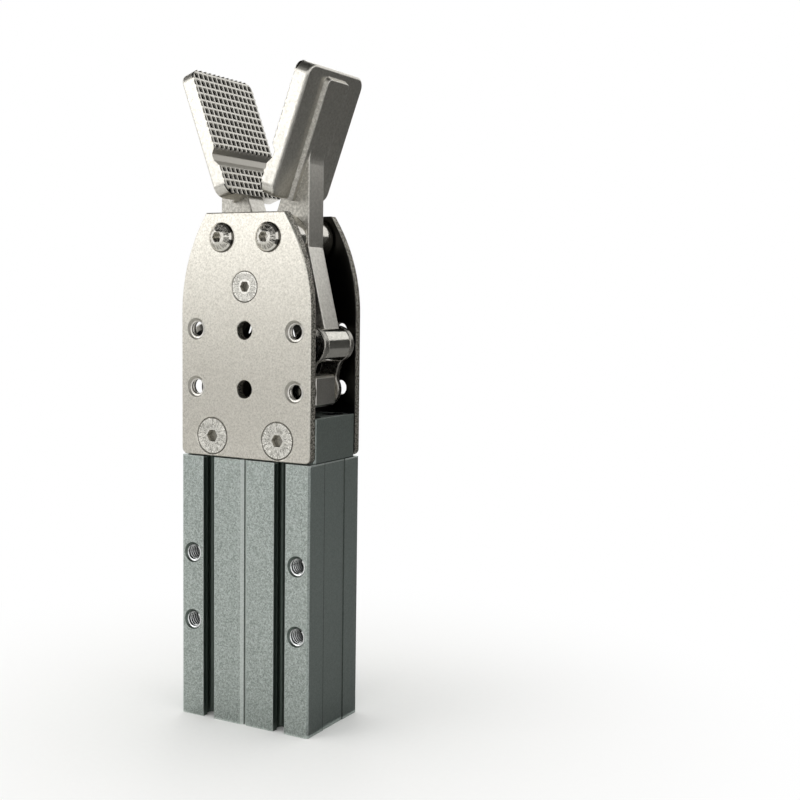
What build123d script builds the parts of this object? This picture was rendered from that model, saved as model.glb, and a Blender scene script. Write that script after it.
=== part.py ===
from build123d import *
import math
import os

# Angular two-jaw pneumatic gripper, in millimetres.
# +Z is up, +X is across the width and the front faces -Y.
# The origin is at the centre of the body's bottom face.
# The rest pose is the open one: the piston is down and the two jaws lean outwards.

# Body extrusion
BODY_WIDTH = 40.0
BODY_DEPTH = 24.0
BODY_HEIGHT = 69.6
BODY_EDGE = 0.5
BORE_DIAMETER = 20.0
SENSOR_SLOT_EDGE = 8.85
SENSOR_SLOT_MOUTH = 3.5
SENSOR_SLOT_LIP = 1.4
SENSOR_SLOT_WIDTH = 4.9
SENSOR_SLOT_DEPTH = 4.2
MARK_GROOVE_WIDTH = 2.0
MARK_GROOVE_DEPTH = 0.7
SIDE_BAND_WIDTH = 9.6
SIDE_BAND_DEPTH = 0.15
BODY_HOLE_EDGE = 3.7
BODY_HOLE_LOW_Z = 25.8
BODY_HOLE_PITCH = 18.0

# Threads: an M5 hole is drilled to its tapping size
M5_TAPPING_RADIUS = 2.1
M5_RADIUS = 2.5
M4_RADIUS = 2.0
M3_RADIUS = 1.5
BODY_HOLE_MOUTH_RADIUS = 2.7
SCREW_CLEARANCE = 0.2

# Cylinder bottom end
CAP_RECESS = 2.7
CAP_THICKNESS = 5.9
CAP_STEP = 0.3
CAP_BOSS_RADIUS = 4.5
CAP_BOSS_HEIGHT = 3.0
RING_THICKNESS = 1.0
RING_GROOVE_DEPTH = 0.5
RING_RADIAL_WIDTH = 2.0
BUMPER_HEIGHT = 5.0
BUMPER_RADIUS = 7.0
PORT_ABOVE_CAP = 2.5
VENT_RADIUS = 1.0
VENT_BELOW_SPIGOT = 4.0

# Piston, rod and spring
PISTON_LENGTH = 14.0
PISTON_CLEARANCE = 0.1
SEAL_CLEARANCE = 0.03
PISTON_SEAL_WIDTH = 2.6
PISTON_SEAL_DEPTH = 2.2
MAGNET_WIDTH = 3.0
MAGNET_DEPTH = 2.5
WEAR_RING_WIDTH = 2.0
WEAR_RING_DEPTH = 1.0
PISTON_LAND = 1.4
ROD_DIAMETER = 8.0
ROD_STUB_RADIUS = 2.5
ROD_CLEARANCE = 0.03
JAM_NUT_ACROSS_FLATS = 8.0
JAM_NUT_THICKNESS = 2.7
SPRING_MEAN_DIAMETER = 14.0
SPRING_WIRE_DIAMETER = 1.6
SPRING_TURNS = 7
SPRING_SEAT_GAP = 0.06

# Cylinder head, between the side plates
HEAD_HEIGHT = 11.4
SPIGOT_LENGTH = 8.0
SPIGOT_CLEARANCE = 0.02
ROD_BUSH_WALL = 1.5
ROD_BUSH_LENGTH = 12.0
WIPER_WALL = 2.5
WIPER_HEIGHT = 3.5
HEAD_SCREW_EDGE = 4.2
HEAD_SCREW_Y = 5.5
HEAD_SCREW_HEAD_RADIUS = 2.75
HEAD_SCREW_HEAD_HEIGHT = 3.0
HEAD_SCREW_GRIP = 8.0
O_RING_SECTION = 2.0

# Side plates: each RISE is a height above the body's top
PLATE_THICKNESS = 2.5
PLATE_GAP = 0.3
PLATE_RISE = 62.8
PLATE_SHOULDER_RADIUS = 45.0
PLATE_SHOULDER_HEIGHT = 25.5
PLATE_FOOT_RADIUS = 1.6
PLATE_EDGE = 0.25
PLATE_HOLE_EDGE = 4.75
PLATE_HOLE_RISE = 33.1
PLATE_HOLE_PITCH = 15.0
PLATE_HOLE_MOUTH_RADIUS = 2.85
CENTRE_HOLE_RADIUS = 2.3
CENTRE_HOLE_EDGE = 0.2
FOOT_SCREW_EDGE = 9.85
FOOT_SCREW_RISE = 5.55
FOOT_SCREW_HEAD_RADIUS = 5.0
FOOT_SCREW_GRIP = 7.0
POST_RISE = 44.1
POST_RADIUS = 3.5
POST_SCREW_HEAD_RADIUS = 4.1
POST_SCREW_GRIP = 6.0
SCREW_HEAD_SINK = 0.1
SCREW_HEAD_GAP = 0.12
HEX_KEY_M5 = 3.0
HEX_KEY_M4 = 2.5
SOCKET_DEPTH = 1.6

# Lever pivots
PIVOT_X = 7.15
PIVOT_RISE = 56.5
PIVOT_SHAFT_RADIUS = 3.0
PIVOT_BUSH_WALL = 1.0
PIVOT_BUSH_LENGTH = 5.0
PIVOT_CLEARANCE = 0.04
BUTTON_HEAD_RADIUS = 3.8
BUTTON_HEAD_HEIGHT = 2.2
BUTTON_SCREW_GRIP = 5.0
WASHER_THICKNESS = 0.7
WASHER_RADIUS = 5.0
SIDE_CLEARANCE = 0.05

# Levers: each is one casting, drawn with its jaw upright and then opened
OPEN_ANGLE = 20.4
CLOSING_ANGLE = 20.4
HUB_RADIUS = 6.1
WEB_THICKNESS = 7.0
WEB_EDGE_RADIUS = 0.3
WEB_INNER_OFFSET = 5.5
WEB_OUTWARD = 6.5
WEB_BLEND_RADIUS = 11.0
WEB_ELBOW_DROP = 2.1
ARM_LEAN = 13.8
ARM_HEEL_OFFSET = 5.7
ARM_HEEL_RISE = 2.85
BOSS_OUTWARD = 9.25
BOSS_DROP = 26.8
BOSS_RADIUS = 4.7
BOSS_HALF_LENGTH = 5.0
PAD_FACE_OFFSET = 6.42
PAD_THICKNESS = 4.2
PAD_WIDTH = 25.6
PAD_FOOT = 9.55
PAD_TIP = 43.3
PAD_CORNER_RADIUS = 3.0
PAD_BACK_RADIUS = 0.7
RIB_WIDTH = 9.6
RIB_HEIGHT = 1.15
RIB_TIP_MARGIN = 2.4
RIB_EDGE_RADIUS = 0.3
RIB_DRAFT = 20.0
RIB_CORNER_RADIUS = 1.2
CROSS_GROOVE_TOP = 22.0
CROSS_GROOVE_UPPER_FLANK = 1.4
CROSS_GROOVE_FLOOR = 1.8
CROSS_GROOVE_LOWER_FLANK = 2.1
CROSS_GROOVE_DEPTH = 1.35
CROSS_GROOVE_CORNER = 0.5
PIT_ROW_PITCH = 1.953
PIT_FIRST_ROW = 0.75
PIT_COLUMN_PITCH = 1.9
PIT_COLUMNS = 15
PIT_WIDTH = 1.45
PIT_FLOOR = 0.5
PIT_DEPTH = 0.6

# Crosshead and links
CROSSHEAD_WIDTH = 34.0
CROSSHEAD_HEIGHT = 8.0
CROSSHEAD_GAP = 2.4
CROSSHEAD_EDGE = 0.6
CROSSHEAD_PIN_X = 13.2
LINK_PIN_RADIUS = 1.5
LINK_PIN_CLEARANCE = 0.05
LINK_THICKNESS = 1.8
LINK_SIDE_GAP = 0.15
LINK_UPPER_RADIUS = 4.8
LINK_LOWER_RADIUS = 4.4
LINK_WAIST = 5.2
LINK_EDGE_RADIUS = 0.3
CLIP_THICKNESS = 0.6
CLIP_RADIUS = 3.0
CLIP_GROOVE_RADIUS = 1.15
CLIP_MOUTH = 2.0
PIN_TAIL = 0.6

# Levels and faces worked out from the sizes above
SENSOR_SLOT_X = BODY_WIDTH / 2 - SENSOR_SLOT_EDGE
BODY_HOLE_X = BODY_WIDTH / 2 - BODY_HOLE_EDGE
HEAD_SCREW_X = BODY_WIDTH / 2 - HEAD_SCREW_EDGE
PLATE_HOLE_X = BODY_WIDTH / 2 - PLATE_HOLE_EDGE
FOOT_SCREW_X = BODY_WIDTH / 2 - FOOT_SCREW_EDGE
PLATE_INNER_Y = BODY_DEPTH / 2 - PLATE_THICKNESS
PLATE_TOP = BODY_HEIGHT + PLATE_RISE
PLATE_HOLE_HIGH_Z = BODY_HEIGHT + PLATE_HOLE_RISE
FOOT_SCREW_Z = BODY_HEIGHT + FOOT_SCREW_RISE
POST_Z = BODY_HEIGHT + POST_RISE
PIVOT_Z = BODY_HEIGHT + PIVOT_RISE
BOSS_X = PIVOT_X + BOSS_OUTWARD
BOSS_Z = PIVOT_Z - BOSS_DROP
WEB_OUTER_X = PIVOT_X + WEB_OUTWARD
WEB_ELBOW_Z = PIVOT_Z - WEB_ELBOW_DROP
HEAD_TOP = BODY_HEIGHT + HEAD_HEIGHT
SPIGOT_BOTTOM = BODY_HEIGHT - SPIGOT_LENGTH
BORE_RADIUS = BORE_DIAMETER / 2
ROD_RADIUS = ROD_DIAMETER / 2
CAP_TOP = CAP_RECESS + CAP_THICKNESS
PORT_Z = CAP_TOP + PORT_ABOVE_CAP
PISTON_BOTTOM = CAP_TOP + BUMPER_HEIGHT
PISTON_TOP = PISTON_BOTTOM + PISTON_LENGTH
CROSSHEAD_BOTTOM = HEAD_TOP + CROSSHEAD_GAP
CROSSHEAD_TOP = CROSSHEAD_BOTTOM + CROSSHEAD_HEIGHT
CROSSHEAD_Z = CROSSHEAD_BOTTOM + CROSSHEAD_HEIGHT / 2
LINK_NEAR_Y = BOSS_HALF_LENGTH + LINK_SIDE_GAP
LINK_FAR_Y = LINK_NEAR_Y + LINK_THICKNESS
CLIP_NEAR_Y = LINK_FAR_Y + SIDE_CLEARANCE
PIN_END_Y = CLIP_NEAR_Y + CLIP_THICKNESS + PIN_TAIL
HUB_HALF_LENGTH = PLATE_INNER_Y - WASHER_THICKNESS - 2 * SIDE_CLEARANCE
PAD_BACK_OFFSET = PAD_FACE_OFFSET - PAD_THICKNESS
RIB_OFFSET = PAD_BACK_OFFSET - RIB_HEIGHT


def along_y(radius, y_low, y_high, x, z):
    """Returns a round bar along Y."""
    bar = Rot(90, 0, 0) * Cylinder(radius, y_high - y_low)
    return Pos(x, (y_low + y_high) / 2, z) * bar


def along_z(radius, z_low, z_high, x=0.0, y=0.0):
    """Returns a round bar along Z."""
    return Pos(x, y, (z_low + z_high) / 2) * Cylinder(radius, z_high - z_low)


def along_x(radius, x_low, x_high, y, z):
    """Returns a round bar along X."""
    bar = Rot(0, 90, 0) * Cylinder(radius, x_high - x_low)
    return Pos((x_low + x_high) / 2, y, z) * bar


def tube_z(outer, inner, z_low, z_high):
    """Returns a plain ring about the cylinder's axis."""
    return along_z(outer, z_low, z_high) - along_z(inner, z_low, z_high)


def slab_y(sketch, y_low, y_high):
    """Extrudes a sketch drawn in (x, z) from one depth to another."""
    slab = extrude(sketch, y_high - y_low, dir=(0, 0, 1))
    return Pos(0, y_high, 0) * Rot(90, 0, 0) * slab


def slab_z(sketch, z_low, z_high):
    """Extrudes a sketch drawn in (x, y) from one height to another."""
    return Pos(0, 0, z_low) * extrude(sketch, z_high - z_low, dir=(0, 0, 1))


def cone_y(x, z, y_wide, wide, y_narrow, narrow):
    """Returns a cone along Y with its two radii at the two depths."""
    height = abs(y_narrow - y_wide)
    turn = -90 if y_narrow > y_wide else 90
    cone = Rot(turn, 0, 0) * Cone(wide, narrow, height)
    return Pos(x, (y_wide + y_narrow) / 2, z) * cone


def hexagon(across_flats):
    """Returns the hexagon of a nut or a socket."""
    return RegularPolygon(across_flats / 2, 6, major_radius=False)


def to_left(shape):
    """Returns the left-hand twin of a right-hand piece."""
    return mirror(shape, about=Plane.YZ)


def to_back(shape):
    """Returns the back twin of a front piece."""
    return mirror(shape, about=Plane.XZ)


# Motion of the linkage, used for the elongated bore of each lever boss


def turned(x, z, degrees):
    """Turns a point of the XZ plane about the origin, from +Z towards +X."""
    angle = math.radians(degrees)
    return (
        x * math.cos(angle) + z * math.sin(angle),
        z * math.cos(angle) - x * math.sin(angle),
    )


def boss_at(closing):
    """Returns where the right boss is when the jaw has closed by an angle."""
    x, z = turned(BOSS_X - PIVOT_X, BOSS_Z - PIVOT_Z, -closing)
    return PIVOT_X + x, PIVOT_Z + z


def link_length():
    """Returns the distance between a link's two eyes."""
    return math.hypot(BOSS_X - CROSSHEAD_PIN_X, BOSS_Z - CROSSHEAD_Z)


def link_angle_open():
    """Returns the link's lean from upright at rest, in degrees."""
    return math.degrees(math.atan2(BOSS_X - CROSSHEAD_PIN_X, BOSS_Z - CROSSHEAD_Z))


def link_angle_closed():
    """Returns the link's lean from upright with the jaws closed, in degrees."""
    reach = boss_at(CLOSING_ANGLE)[0] - CROSSHEAD_PIN_X
    return math.degrees(math.asin(min(1.0, reach / link_length())))


def stroke():
    """Returns how far the crosshead rises as the jaws close."""
    drop = link_length() * math.cos(math.radians(link_angle_closed()))
    return boss_at(CLOSING_ANGLE)[1] - drop - CROSSHEAD_Z


def bore_shift(part_closed):
    """Returns the link pin's place from the boss centre, in the open lever's frame."""
    closing = CLOSING_ANGLE * part_closed
    lean = link_angle_open() + (link_angle_closed() - link_angle_open()) * part_closed
    tip_x, tip_z = turned(0.0, link_length(), lean)
    pin_x = CROSSHEAD_PIN_X + tip_x
    pin_z = CROSSHEAD_Z + stroke() * part_closed + tip_z
    boss_x, boss_z = boss_at(closing)
    return turned(pin_x - boss_x, pin_z - boss_z, closing)


# Cylinder body


def sensor_slot():
    """Returns the section of one front slot with its undercut."""
    face_y = -BODY_DEPTH / 2
    mouth = Pos(0, face_y + SENSOR_SLOT_LIP / 2) * Rectangle(
        SENSOR_SLOT_MOUTH, SENSOR_SLOT_LIP
    )
    depth = SENSOR_SLOT_DEPTH - SENSOR_SLOT_LIP
    cavity = RectangleRounded(SENSOR_SLOT_WIDTH, depth, depth / 3)
    return mouth + Pos(0, face_y + SENSOR_SLOT_LIP + depth / 2) * cavity


def mark_groove():
    """Returns the section of the shallow V along the middle of the front face."""
    face_y = -BODY_DEPTH / 2
    half = MARK_GROOVE_WIDTH / 2
    return Polygon(
        (-half, face_y), (half, face_y), (0, face_y + MARK_GROOVE_DEPTH), align=None
    )


def body_section():
    """Returns the extrusion's section."""
    outline = Rectangle(BODY_WIDTH, BODY_DEPTH)
    outline = chamfer(outline.vertices(), BODY_EDGE)
    outline -= mark_groove()
    outline -= mirror(mark_groove(), about=Plane.XZ)
    for side in (-1, 1):
        slot = Pos(side * SENSOR_SLOT_X, 0) * sensor_slot()
        outline -= slot
        outline -= mirror(slot, about=Plane.XZ)
        band = Rectangle(2 * SIDE_BAND_DEPTH, SIDE_BAND_WIDTH)
        outline -= Pos(side * BODY_WIDTH / 2, 0) * band
    return outline - Circle(BORE_RADIUS)


def body_mounting_holes():
    """Returns the cutter of the four tapped holes, which go right through."""
    cutter = Part()
    face_y = BODY_DEPTH / 2
    mouth_depth = BODY_HOLE_MOUTH_RADIUS - M5_TAPPING_RADIUS
    for x in (-BODY_HOLE_X, BODY_HOLE_X):
        for row in range(2):
            z = BODY_HOLE_LOW_Z + row * BODY_HOLE_PITCH
            cutter += along_y(M5_TAPPING_RADIUS, -face_y, face_y, x, z)
            for side in (-1, 1):
                cutter += cone_y(
                    x,
                    z,
                    side * face_y,
                    BODY_HOLE_MOUTH_RADIUS,
                    side * (face_y - mouth_depth),
                    M5_TAPPING_RADIUS,
                )
    return cutter


def head_screw_places():
    """Lists the places of the four screws that hold the head on the body."""
    return [
        (x, y)
        for x in (-HEAD_SCREW_X, HEAD_SCREW_X)
        for y in (-HEAD_SCREW_Y, HEAD_SCREW_Y)
    ]


def cylinder_body():
    """Returns the anodised extrusion with its bore, holes, port and vent."""
    body = slab_z(body_section(), 0, BODY_HEIGHT)
    body -= along_z(BORE_RADIUS + CAP_STEP, 0, CAP_TOP)
    groove_top = CAP_RECESS
    groove_bottom = groove_top - RING_THICKNESS - 2 * SIDE_CLEARANCE
    groove_radius = BORE_RADIUS + CAP_STEP + RING_GROOVE_DEPTH
    body -= along_z(groove_radius, groove_bottom, groove_top)
    body -= body_mounting_holes()
    for x, y in head_screw_places():
        bottom = BODY_HEIGHT - HEAD_SCREW_GRIP - SIDE_CLEARANCE
        body -= along_z(M3_RADIUS, bottom, BODY_HEIGHT, x, y)
    left = -BODY_WIDTH / 2
    body -= along_x(M5_TAPPING_RADIUS, left, -BORE_RADIUS / 2, 0, PORT_Z)
    vent_z = SPIGOT_BOTTOM - VENT_BELOW_SPIGOT
    body -= along_x(VENT_RADIUS, left, -BORE_RADIUS / 2, 0, vent_z)
    return body


def o_ring(outer, z):
    """Returns an O-ring seated at a height, with its outer side at a radius."""
    section = O_RING_SECTION / 2
    return Pos(0, 0, z) * Torus(outer - section, section)


def o_ring_groove(outer, z):
    """Returns the cutter of a square groove for an O-ring, just inside a radius."""
    half = O_RING_SECTION / 2 + SIDE_CLEARANCE
    return tube_z(outer + 1, outer - O_RING_SECTION, z - half, z + half)


def cap_radius():
    """Returns the end cap's radius."""
    return BORE_RADIUS + CAP_STEP - SPIGOT_CLEARANCE


def cap_seal_z():
    """Returns the height of the end cap's O-ring."""
    return CAP_RECESS + CAP_THICKNESS / 2


def end_cap():
    """Returns the plug that closes the bore's lower end."""
    cap = along_z(cap_radius(), CAP_RECESS, CAP_TOP)
    cap += along_z(CAP_BOSS_RADIUS, CAP_TOP, CAP_TOP + CAP_BOSS_HEIGHT)
    cap -= o_ring_groove(cap_radius(), cap_seal_z())
    socket = slab_z(hexagon(JAM_NUT_ACROSS_FLATS), 0, SOCKET_DEPTH)
    return cap - Pos(0, 0, CAP_RECESS) * socket


def end_cap_o_ring():
    """Returns the end cap's seal."""
    return o_ring(cap_radius(), cap_seal_z())


def retaining_ring():
    """Returns the internal snap ring that holds the end cap in."""
    outer = BORE_RADIUS + CAP_STEP + RING_GROOVE_DEPTH - SIDE_CLEARANCE
    middle = outer - RING_RADIAL_WIDTH
    top = CAP_RECESS - SIDE_CLEARANCE
    bottom = top - RING_THICKNESS
    lug_radius = 0.8 * RING_RADIAL_WIDTH
    lug_angle = 24.0
    ring = tube_z(outer, middle, bottom, top)
    mouth = Polygon(
        (0, 0),
        turned(0, 2 * outer, -lug_angle),
        turned(0, 2 * outer, lug_angle),
        align=None,
    )
    ring -= slab_z(mouth, bottom, top)
    for angle in (-lug_angle, lug_angle):
        x, y = turned(0, middle, angle)
        ring += along_z(lug_radius, bottom, top, x, y)
        ring -= along_z(lug_radius / 2, bottom, top, x, y)
    return ring


def end_bumper():
    """Returns the rubber cushion that the piston rests on."""
    outer = min(BUMPER_RADIUS, BORE_RADIUS - 2)
    return tube_z(outer, CAP_BOSS_RADIUS, CAP_TOP, PISTON_BOTTOM)


# Piston and rod


def piston_radius():
    """Returns the piston's radius."""
    return BORE_RADIUS - PISTON_CLEARANCE


def piston_grooves():
    """Lists the (bottom, width, depth) of the piston's three grooves, from the top."""
    grooves = []
    level = PISTON_TOP - PISTON_LAND
    for width, depth in (
        (WEAR_RING_WIDTH, WEAR_RING_DEPTH),
        (MAGNET_WIDTH, MAGNET_DEPTH),
        (PISTON_SEAL_WIDTH, PISTON_SEAL_DEPTH),
    ):
        level -= width
        grooves.append((level, width, depth))
        level -= PISTON_LAND
    return grooves


def groove_ring(index, outer):
    """Returns the ring that fills one piston groove out to a radius."""
    bottom, width, depth = piston_grooves()[index]
    return tube_z(
        outer,
        piston_radius() - depth,
        bottom + SIDE_CLEARANCE,
        bottom + width - SIDE_CLEARANCE,
    )


def nut_pocket_radius():
    """Returns the radius of the pocket for the piston's nut."""
    return JAM_NUT_ACROSS_FLATS / math.sqrt(3) + 4 * SIDE_CLEARANCE


def piston_nut_top():
    """Returns the height of the top face of the piston's nut."""
    return PISTON_BOTTOM + JAM_NUT_THICKNESS + 2 * SIDE_CLEARANCE


def piston():
    """Returns the piston with grooves for its rings and a pocket for its nut."""
    part = along_z(piston_radius(), PISTON_BOTTOM, PISTON_TOP)
    for bottom, width, depth in piston_grooves():
        outer = piston_radius() + 1
        part -= tube_z(outer, piston_radius() - depth, bottom, bottom + width)
    part -= along_z(ROD_STUB_RADIUS, PISTON_BOTTOM, PISTON_TOP)
    return part - along_z(nut_pocket_radius(), PISTON_BOTTOM, piston_nut_top())


def piston_wear_ring():
    """Returns the guide strip around the piston."""
    return groove_ring(0, BORE_RADIUS - SEAL_CLEARANCE)


def piston_magnet():
    """Returns the sensor magnet ring, just below the piston's surface."""
    return groove_ring(1, piston_radius() - SIDE_CLEARANCE)


def piston_seal():
    """Returns the piston's lip seal."""
    return groove_ring(2, BORE_RADIUS - SEAL_CLEARANCE)


def jam_nut(bottom):
    """Returns a thin hexagon nut on the rod's stub."""
    nut = slab_z(hexagon(JAM_NUT_ACROSS_FLATS), bottom, bottom + JAM_NUT_THICKNESS)
    return nut - along_z(ROD_STUB_RADIUS, bottom, bottom + JAM_NUT_THICKNESS)


def piston_nut():
    """Returns the nut that holds the piston on the rod."""
    return jam_nut(piston_nut_top() - JAM_NUT_THICKNESS)


def piston_rod():
    """Returns the rod, with a stub for the piston and one for the crosshead."""
    rod = along_z(ROD_RADIUS, PISTON_TOP, CROSSHEAD_BOTTOM)
    lower_end = piston_nut_top() - JAM_NUT_THICKNESS
    upper_end = CROSSHEAD_TOP + JAM_NUT_THICKNESS
    rod += along_z(ROD_STUB_RADIUS, lower_end, PISTON_TOP)
    return rod + along_z(ROD_STUB_RADIUS, CROSSHEAD_BOTTOM, upper_end)


def return_spring():
    """Returns the spring that pushes the piston down and opens the jaws."""
    wire = SPRING_WIRE_DIAMETER / 2
    margin = wire + SPRING_SEAT_GAP
    low = PISTON_TOP + margin
    height = SPIGOT_BOTTOM - margin - low
    radius = min(SPRING_MEAN_DIAMETER / 2, BORE_RADIUS - wire - 4 * SPRING_SEAT_GAP)
    path = Helix(height / SPRING_TURNS, height, radius)
    section = Plane(path @ 0, z_dir=path % 0) * Circle(wire)
    return Pos(0, 0, low) * sweep(section, path=path)


# Cylinder head


def spigot_radius():
    """Returns the radius of the head's spigot in the bore."""
    return BORE_RADIUS - SPIGOT_CLEARANCE


def spigot_seal_z():
    """Returns the height of the head's O-ring."""
    return BODY_HEIGHT - SPIGOT_LENGTH / 2


def foot_screw_tip_y():
    """Returns how deep the foot screws reach into the head, from the middle plane."""
    return PLATE_INNER_Y - FOOT_SCREW_GRIP


def cylinder_head():
    """Returns the block on top of the body that carries the plates and guides the rod."""
    depth = 2 * PLATE_INNER_Y
    outline = chamfer(Rectangle(BODY_WIDTH, depth).vertices(), BODY_EDGE)
    head = slab_z(outline, BODY_HEIGHT, HEAD_TOP)
    head += along_z(spigot_radius(), SPIGOT_BOTTOM, BODY_HEIGHT)
    head -= o_ring_groove(spigot_radius(), spigot_seal_z())
    head -= along_z(ROD_RADIUS + 4 * ROD_CLEARANCE, SPIGOT_BOTTOM, HEAD_TOP)
    bush = ROD_RADIUS + ROD_BUSH_WALL
    head -= along_z(bush, SPIGOT_BOTTOM, SPIGOT_BOTTOM + ROD_BUSH_LENGTH)
    head -= along_z(ROD_RADIUS + WIPER_WALL, HEAD_TOP - WIPER_HEIGHT, HEAD_TOP)
    pocket = HEAD_SCREW_HEAD_RADIUS + SCREW_CLEARANCE
    for x, y in head_screw_places():
        head -= along_z(M3_RADIUS + SCREW_CLEARANCE, BODY_HEIGHT, HEAD_TOP, x, y)
        head -= along_z(pocket, HEAD_TOP - HEAD_SCREW_HEAD_HEIGHT, HEAD_TOP, x, y)
    tip = foot_screw_tip_y() - SIDE_CLEARANCE
    for x in (-FOOT_SCREW_X, FOOT_SCREW_X):
        for side in (-1, 1):
            low, high = sorted((side * tip, side * PLATE_INNER_Y))
            head -= along_y(M5_RADIUS, low, high, x, FOOT_SCREW_Z)
    return head


def head_o_ring():
    """Returns the seal between the head and the bore."""
    return o_ring(spigot_radius(), spigot_seal_z())


def rod_bush():
    """Returns the bronze bush that guides the rod."""
    outer = ROD_RADIUS + ROD_BUSH_WALL
    inner = ROD_RADIUS + ROD_CLEARANCE
    return tube_z(outer, inner, SPIGOT_BOTTOM, SPIGOT_BOTTOM + ROD_BUSH_LENGTH)


def rod_wiper():
    """Returns the wiper that keeps dirt off the rod."""
    outer = ROD_RADIUS + WIPER_WALL
    inner = ROD_RADIUS + ROD_CLEARANCE
    return tube_z(outer, inner, HEAD_TOP - WIPER_HEIGHT, HEAD_TOP)


def head_screws():
    """Returns the four socket screws that hold the head on the body."""
    screws = []
    under_head = HEAD_TOP - HEAD_SCREW_HEAD_HEIGHT
    for x, y in head_screw_places():
        screw = along_z(M3_RADIUS, BODY_HEIGHT - HEAD_SCREW_GRIP, under_head, x, y)
        screw += along_z(HEAD_SCREW_HEAD_RADIUS, under_head, HEAD_TOP, x, y)
        socket = slab_z(hexagon(HEX_KEY_M4), HEAD_TOP - SOCKET_DEPTH, HEAD_TOP)
        screws.append(screw - Pos(x, y, 0) * socket)
    return Compound(children=screws)


# Side plates and their screws


def plate_outline():
    """Returns the plate's outline in (x, z), with its two curved shoulders."""
    half = BODY_WIDTH / 2
    bottom = BODY_HEIGHT + PLATE_GAP
    arc_start = PLATE_TOP - PLATE_SHOULDER_HEIGHT
    sweep_angle = math.asin(PLATE_SHOULDER_HEIGHT / PLATE_SHOULDER_RADIUS)

    def shoulder(angle):
        """Returns a point of the right shoulder."""
        x = half - PLATE_SHOULDER_RADIUS * (1 - math.cos(angle))
        return x, arc_start + PLATE_SHOULDER_RADIUS * math.sin(angle)

    top_x, top_z = shoulder(sweep_angle)
    middle_x, middle_z = shoulder(sweep_angle / 2)
    edges = [
        Line((-half, bottom), (half, bottom)),
        Line((half, bottom), (half, arc_start)),
        ThreePointArc((half, arc_start), (middle_x, middle_z), (top_x, top_z)),
        Line((top_x, top_z), (-top_x, top_z)),
        ThreePointArc((-top_x, top_z), (-middle_x, middle_z), (-half, arc_start)),
        Line((-half, arc_start), (-half, bottom)),
    ]
    outline = make_face(edges)
    feet = outline.vertices().sort_by(Axis.Y)[:2]
    return fillet(feet, PLATE_FOOT_RADIUS)


def plate_hole_places():
    """Lists the places of a plate's four tapped holes."""
    low = PLATE_HOLE_HIGH_Z - PLATE_HOLE_PITCH
    return [
        (x, z)
        for x in (-PLATE_HOLE_X, PLATE_HOLE_X)
        for z in (low, PLATE_HOLE_HIGH_Z)
    ]


def front_side_plate():
    """Returns the front plate, with its tapped, plain and countersunk holes."""
    outer_y = -BODY_DEPTH / 2
    inner_y = -PLATE_INNER_Y
    plate = slab_y(plate_outline(), outer_y, inner_y)
    outer_face = plate.faces().sort_by(Axis.Y)[0]
    plate = chamfer(outer_face.edges(), PLATE_EDGE)
    mouth_depth = PLATE_HOLE_MOUTH_RADIUS - M5_TAPPING_RADIUS
    for x, z in plate_hole_places():
        plate -= along_y(M5_TAPPING_RADIUS, outer_y, inner_y, x, z)
        plate -= cone_y(
            x,
            z,
            outer_y,
            PLATE_HOLE_MOUTH_RADIUS,
            outer_y + mouth_depth,
            M5_TAPPING_RADIUS,
        )
    for z in (PLATE_HOLE_HIGH_Z, PLATE_HOLE_HIGH_Z - PLATE_HOLE_PITCH):
        plate -= along_y(CENTRE_HOLE_RADIUS, outer_y, inner_y, 0, z)
        plate -= cone_y(
            0,
            z,
            outer_y,
            CENTRE_HOLE_RADIUS + CENTRE_HOLE_EDGE,
            outer_y + CENTRE_HOLE_EDGE,
            CENTRE_HOLE_RADIUS,
        )
    for x in (-FOOT_SCREW_X, FOOT_SCREW_X):
        plate -= countersink(x, FOOT_SCREW_Z, FOOT_SCREW_HEAD_RADIUS, M5_RADIUS)
    plate -= countersink(0, POST_Z, POST_SCREW_HEAD_RADIUS, M4_RADIUS)
    for x in (-PIVOT_X, PIVOT_X):
        hole = M4_RADIUS + SCREW_CLEARANCE
        plate -= along_y(hole, outer_y, inner_y, x, PIVOT_Z)
    return plate


def countersink(x, z, head_radius, shank_radius):
    """Returns the cutter of a countersunk hole in the front plate."""
    outer_y = -BODY_DEPTH / 2
    hole_radius = shank_radius + SCREW_CLEARANCE
    cone_depth = min(head_radius - hole_radius, PLATE_THICKNESS)
    cutter = along_y(hole_radius, outer_y, -PLATE_INNER_Y, x, z)
    return cutter + cone_y(
        x, z, outer_y, head_radius, outer_y + cone_depth, head_radius - cone_depth
    )


def back_side_plate():
    """Returns the back plate, the front plate's twin."""
    return to_back(front_side_plate())


def countersunk_screw(x, z, head_radius, shank_radius, grip, key):
    """Returns a flat-head socket screw in the front plate."""
    face_y = -BODY_DEPTH / 2 + SCREW_HEAD_SINK
    top_radius = head_radius - SCREW_HEAD_SINK - SCREW_HEAD_GAP
    cone_depth = top_radius - shank_radius
    screw = cone_y(x, z, face_y, top_radius, face_y + cone_depth, shank_radius)
    screw += along_y(shank_radius, face_y + cone_depth, -PLATE_INNER_Y + grip, x, z)
    socket = Pos(x, z) * hexagon(key)
    return screw - slab_y(socket, face_y, face_y + SOCKET_DEPTH)


def foot_screws():
    """Returns the four flat-head screws that hold the plates on the head."""
    grip = FOOT_SCREW_GRIP
    fronts = [
        countersunk_screw(
            x, FOOT_SCREW_Z, FOOT_SCREW_HEAD_RADIUS, M5_RADIUS, grip, HEX_KEY_M5
        )
        for x in (-FOOT_SCREW_X, FOOT_SCREW_X)
    ]
    return Compound(children=fronts + [to_back(screw) for screw in fronts])


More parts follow.
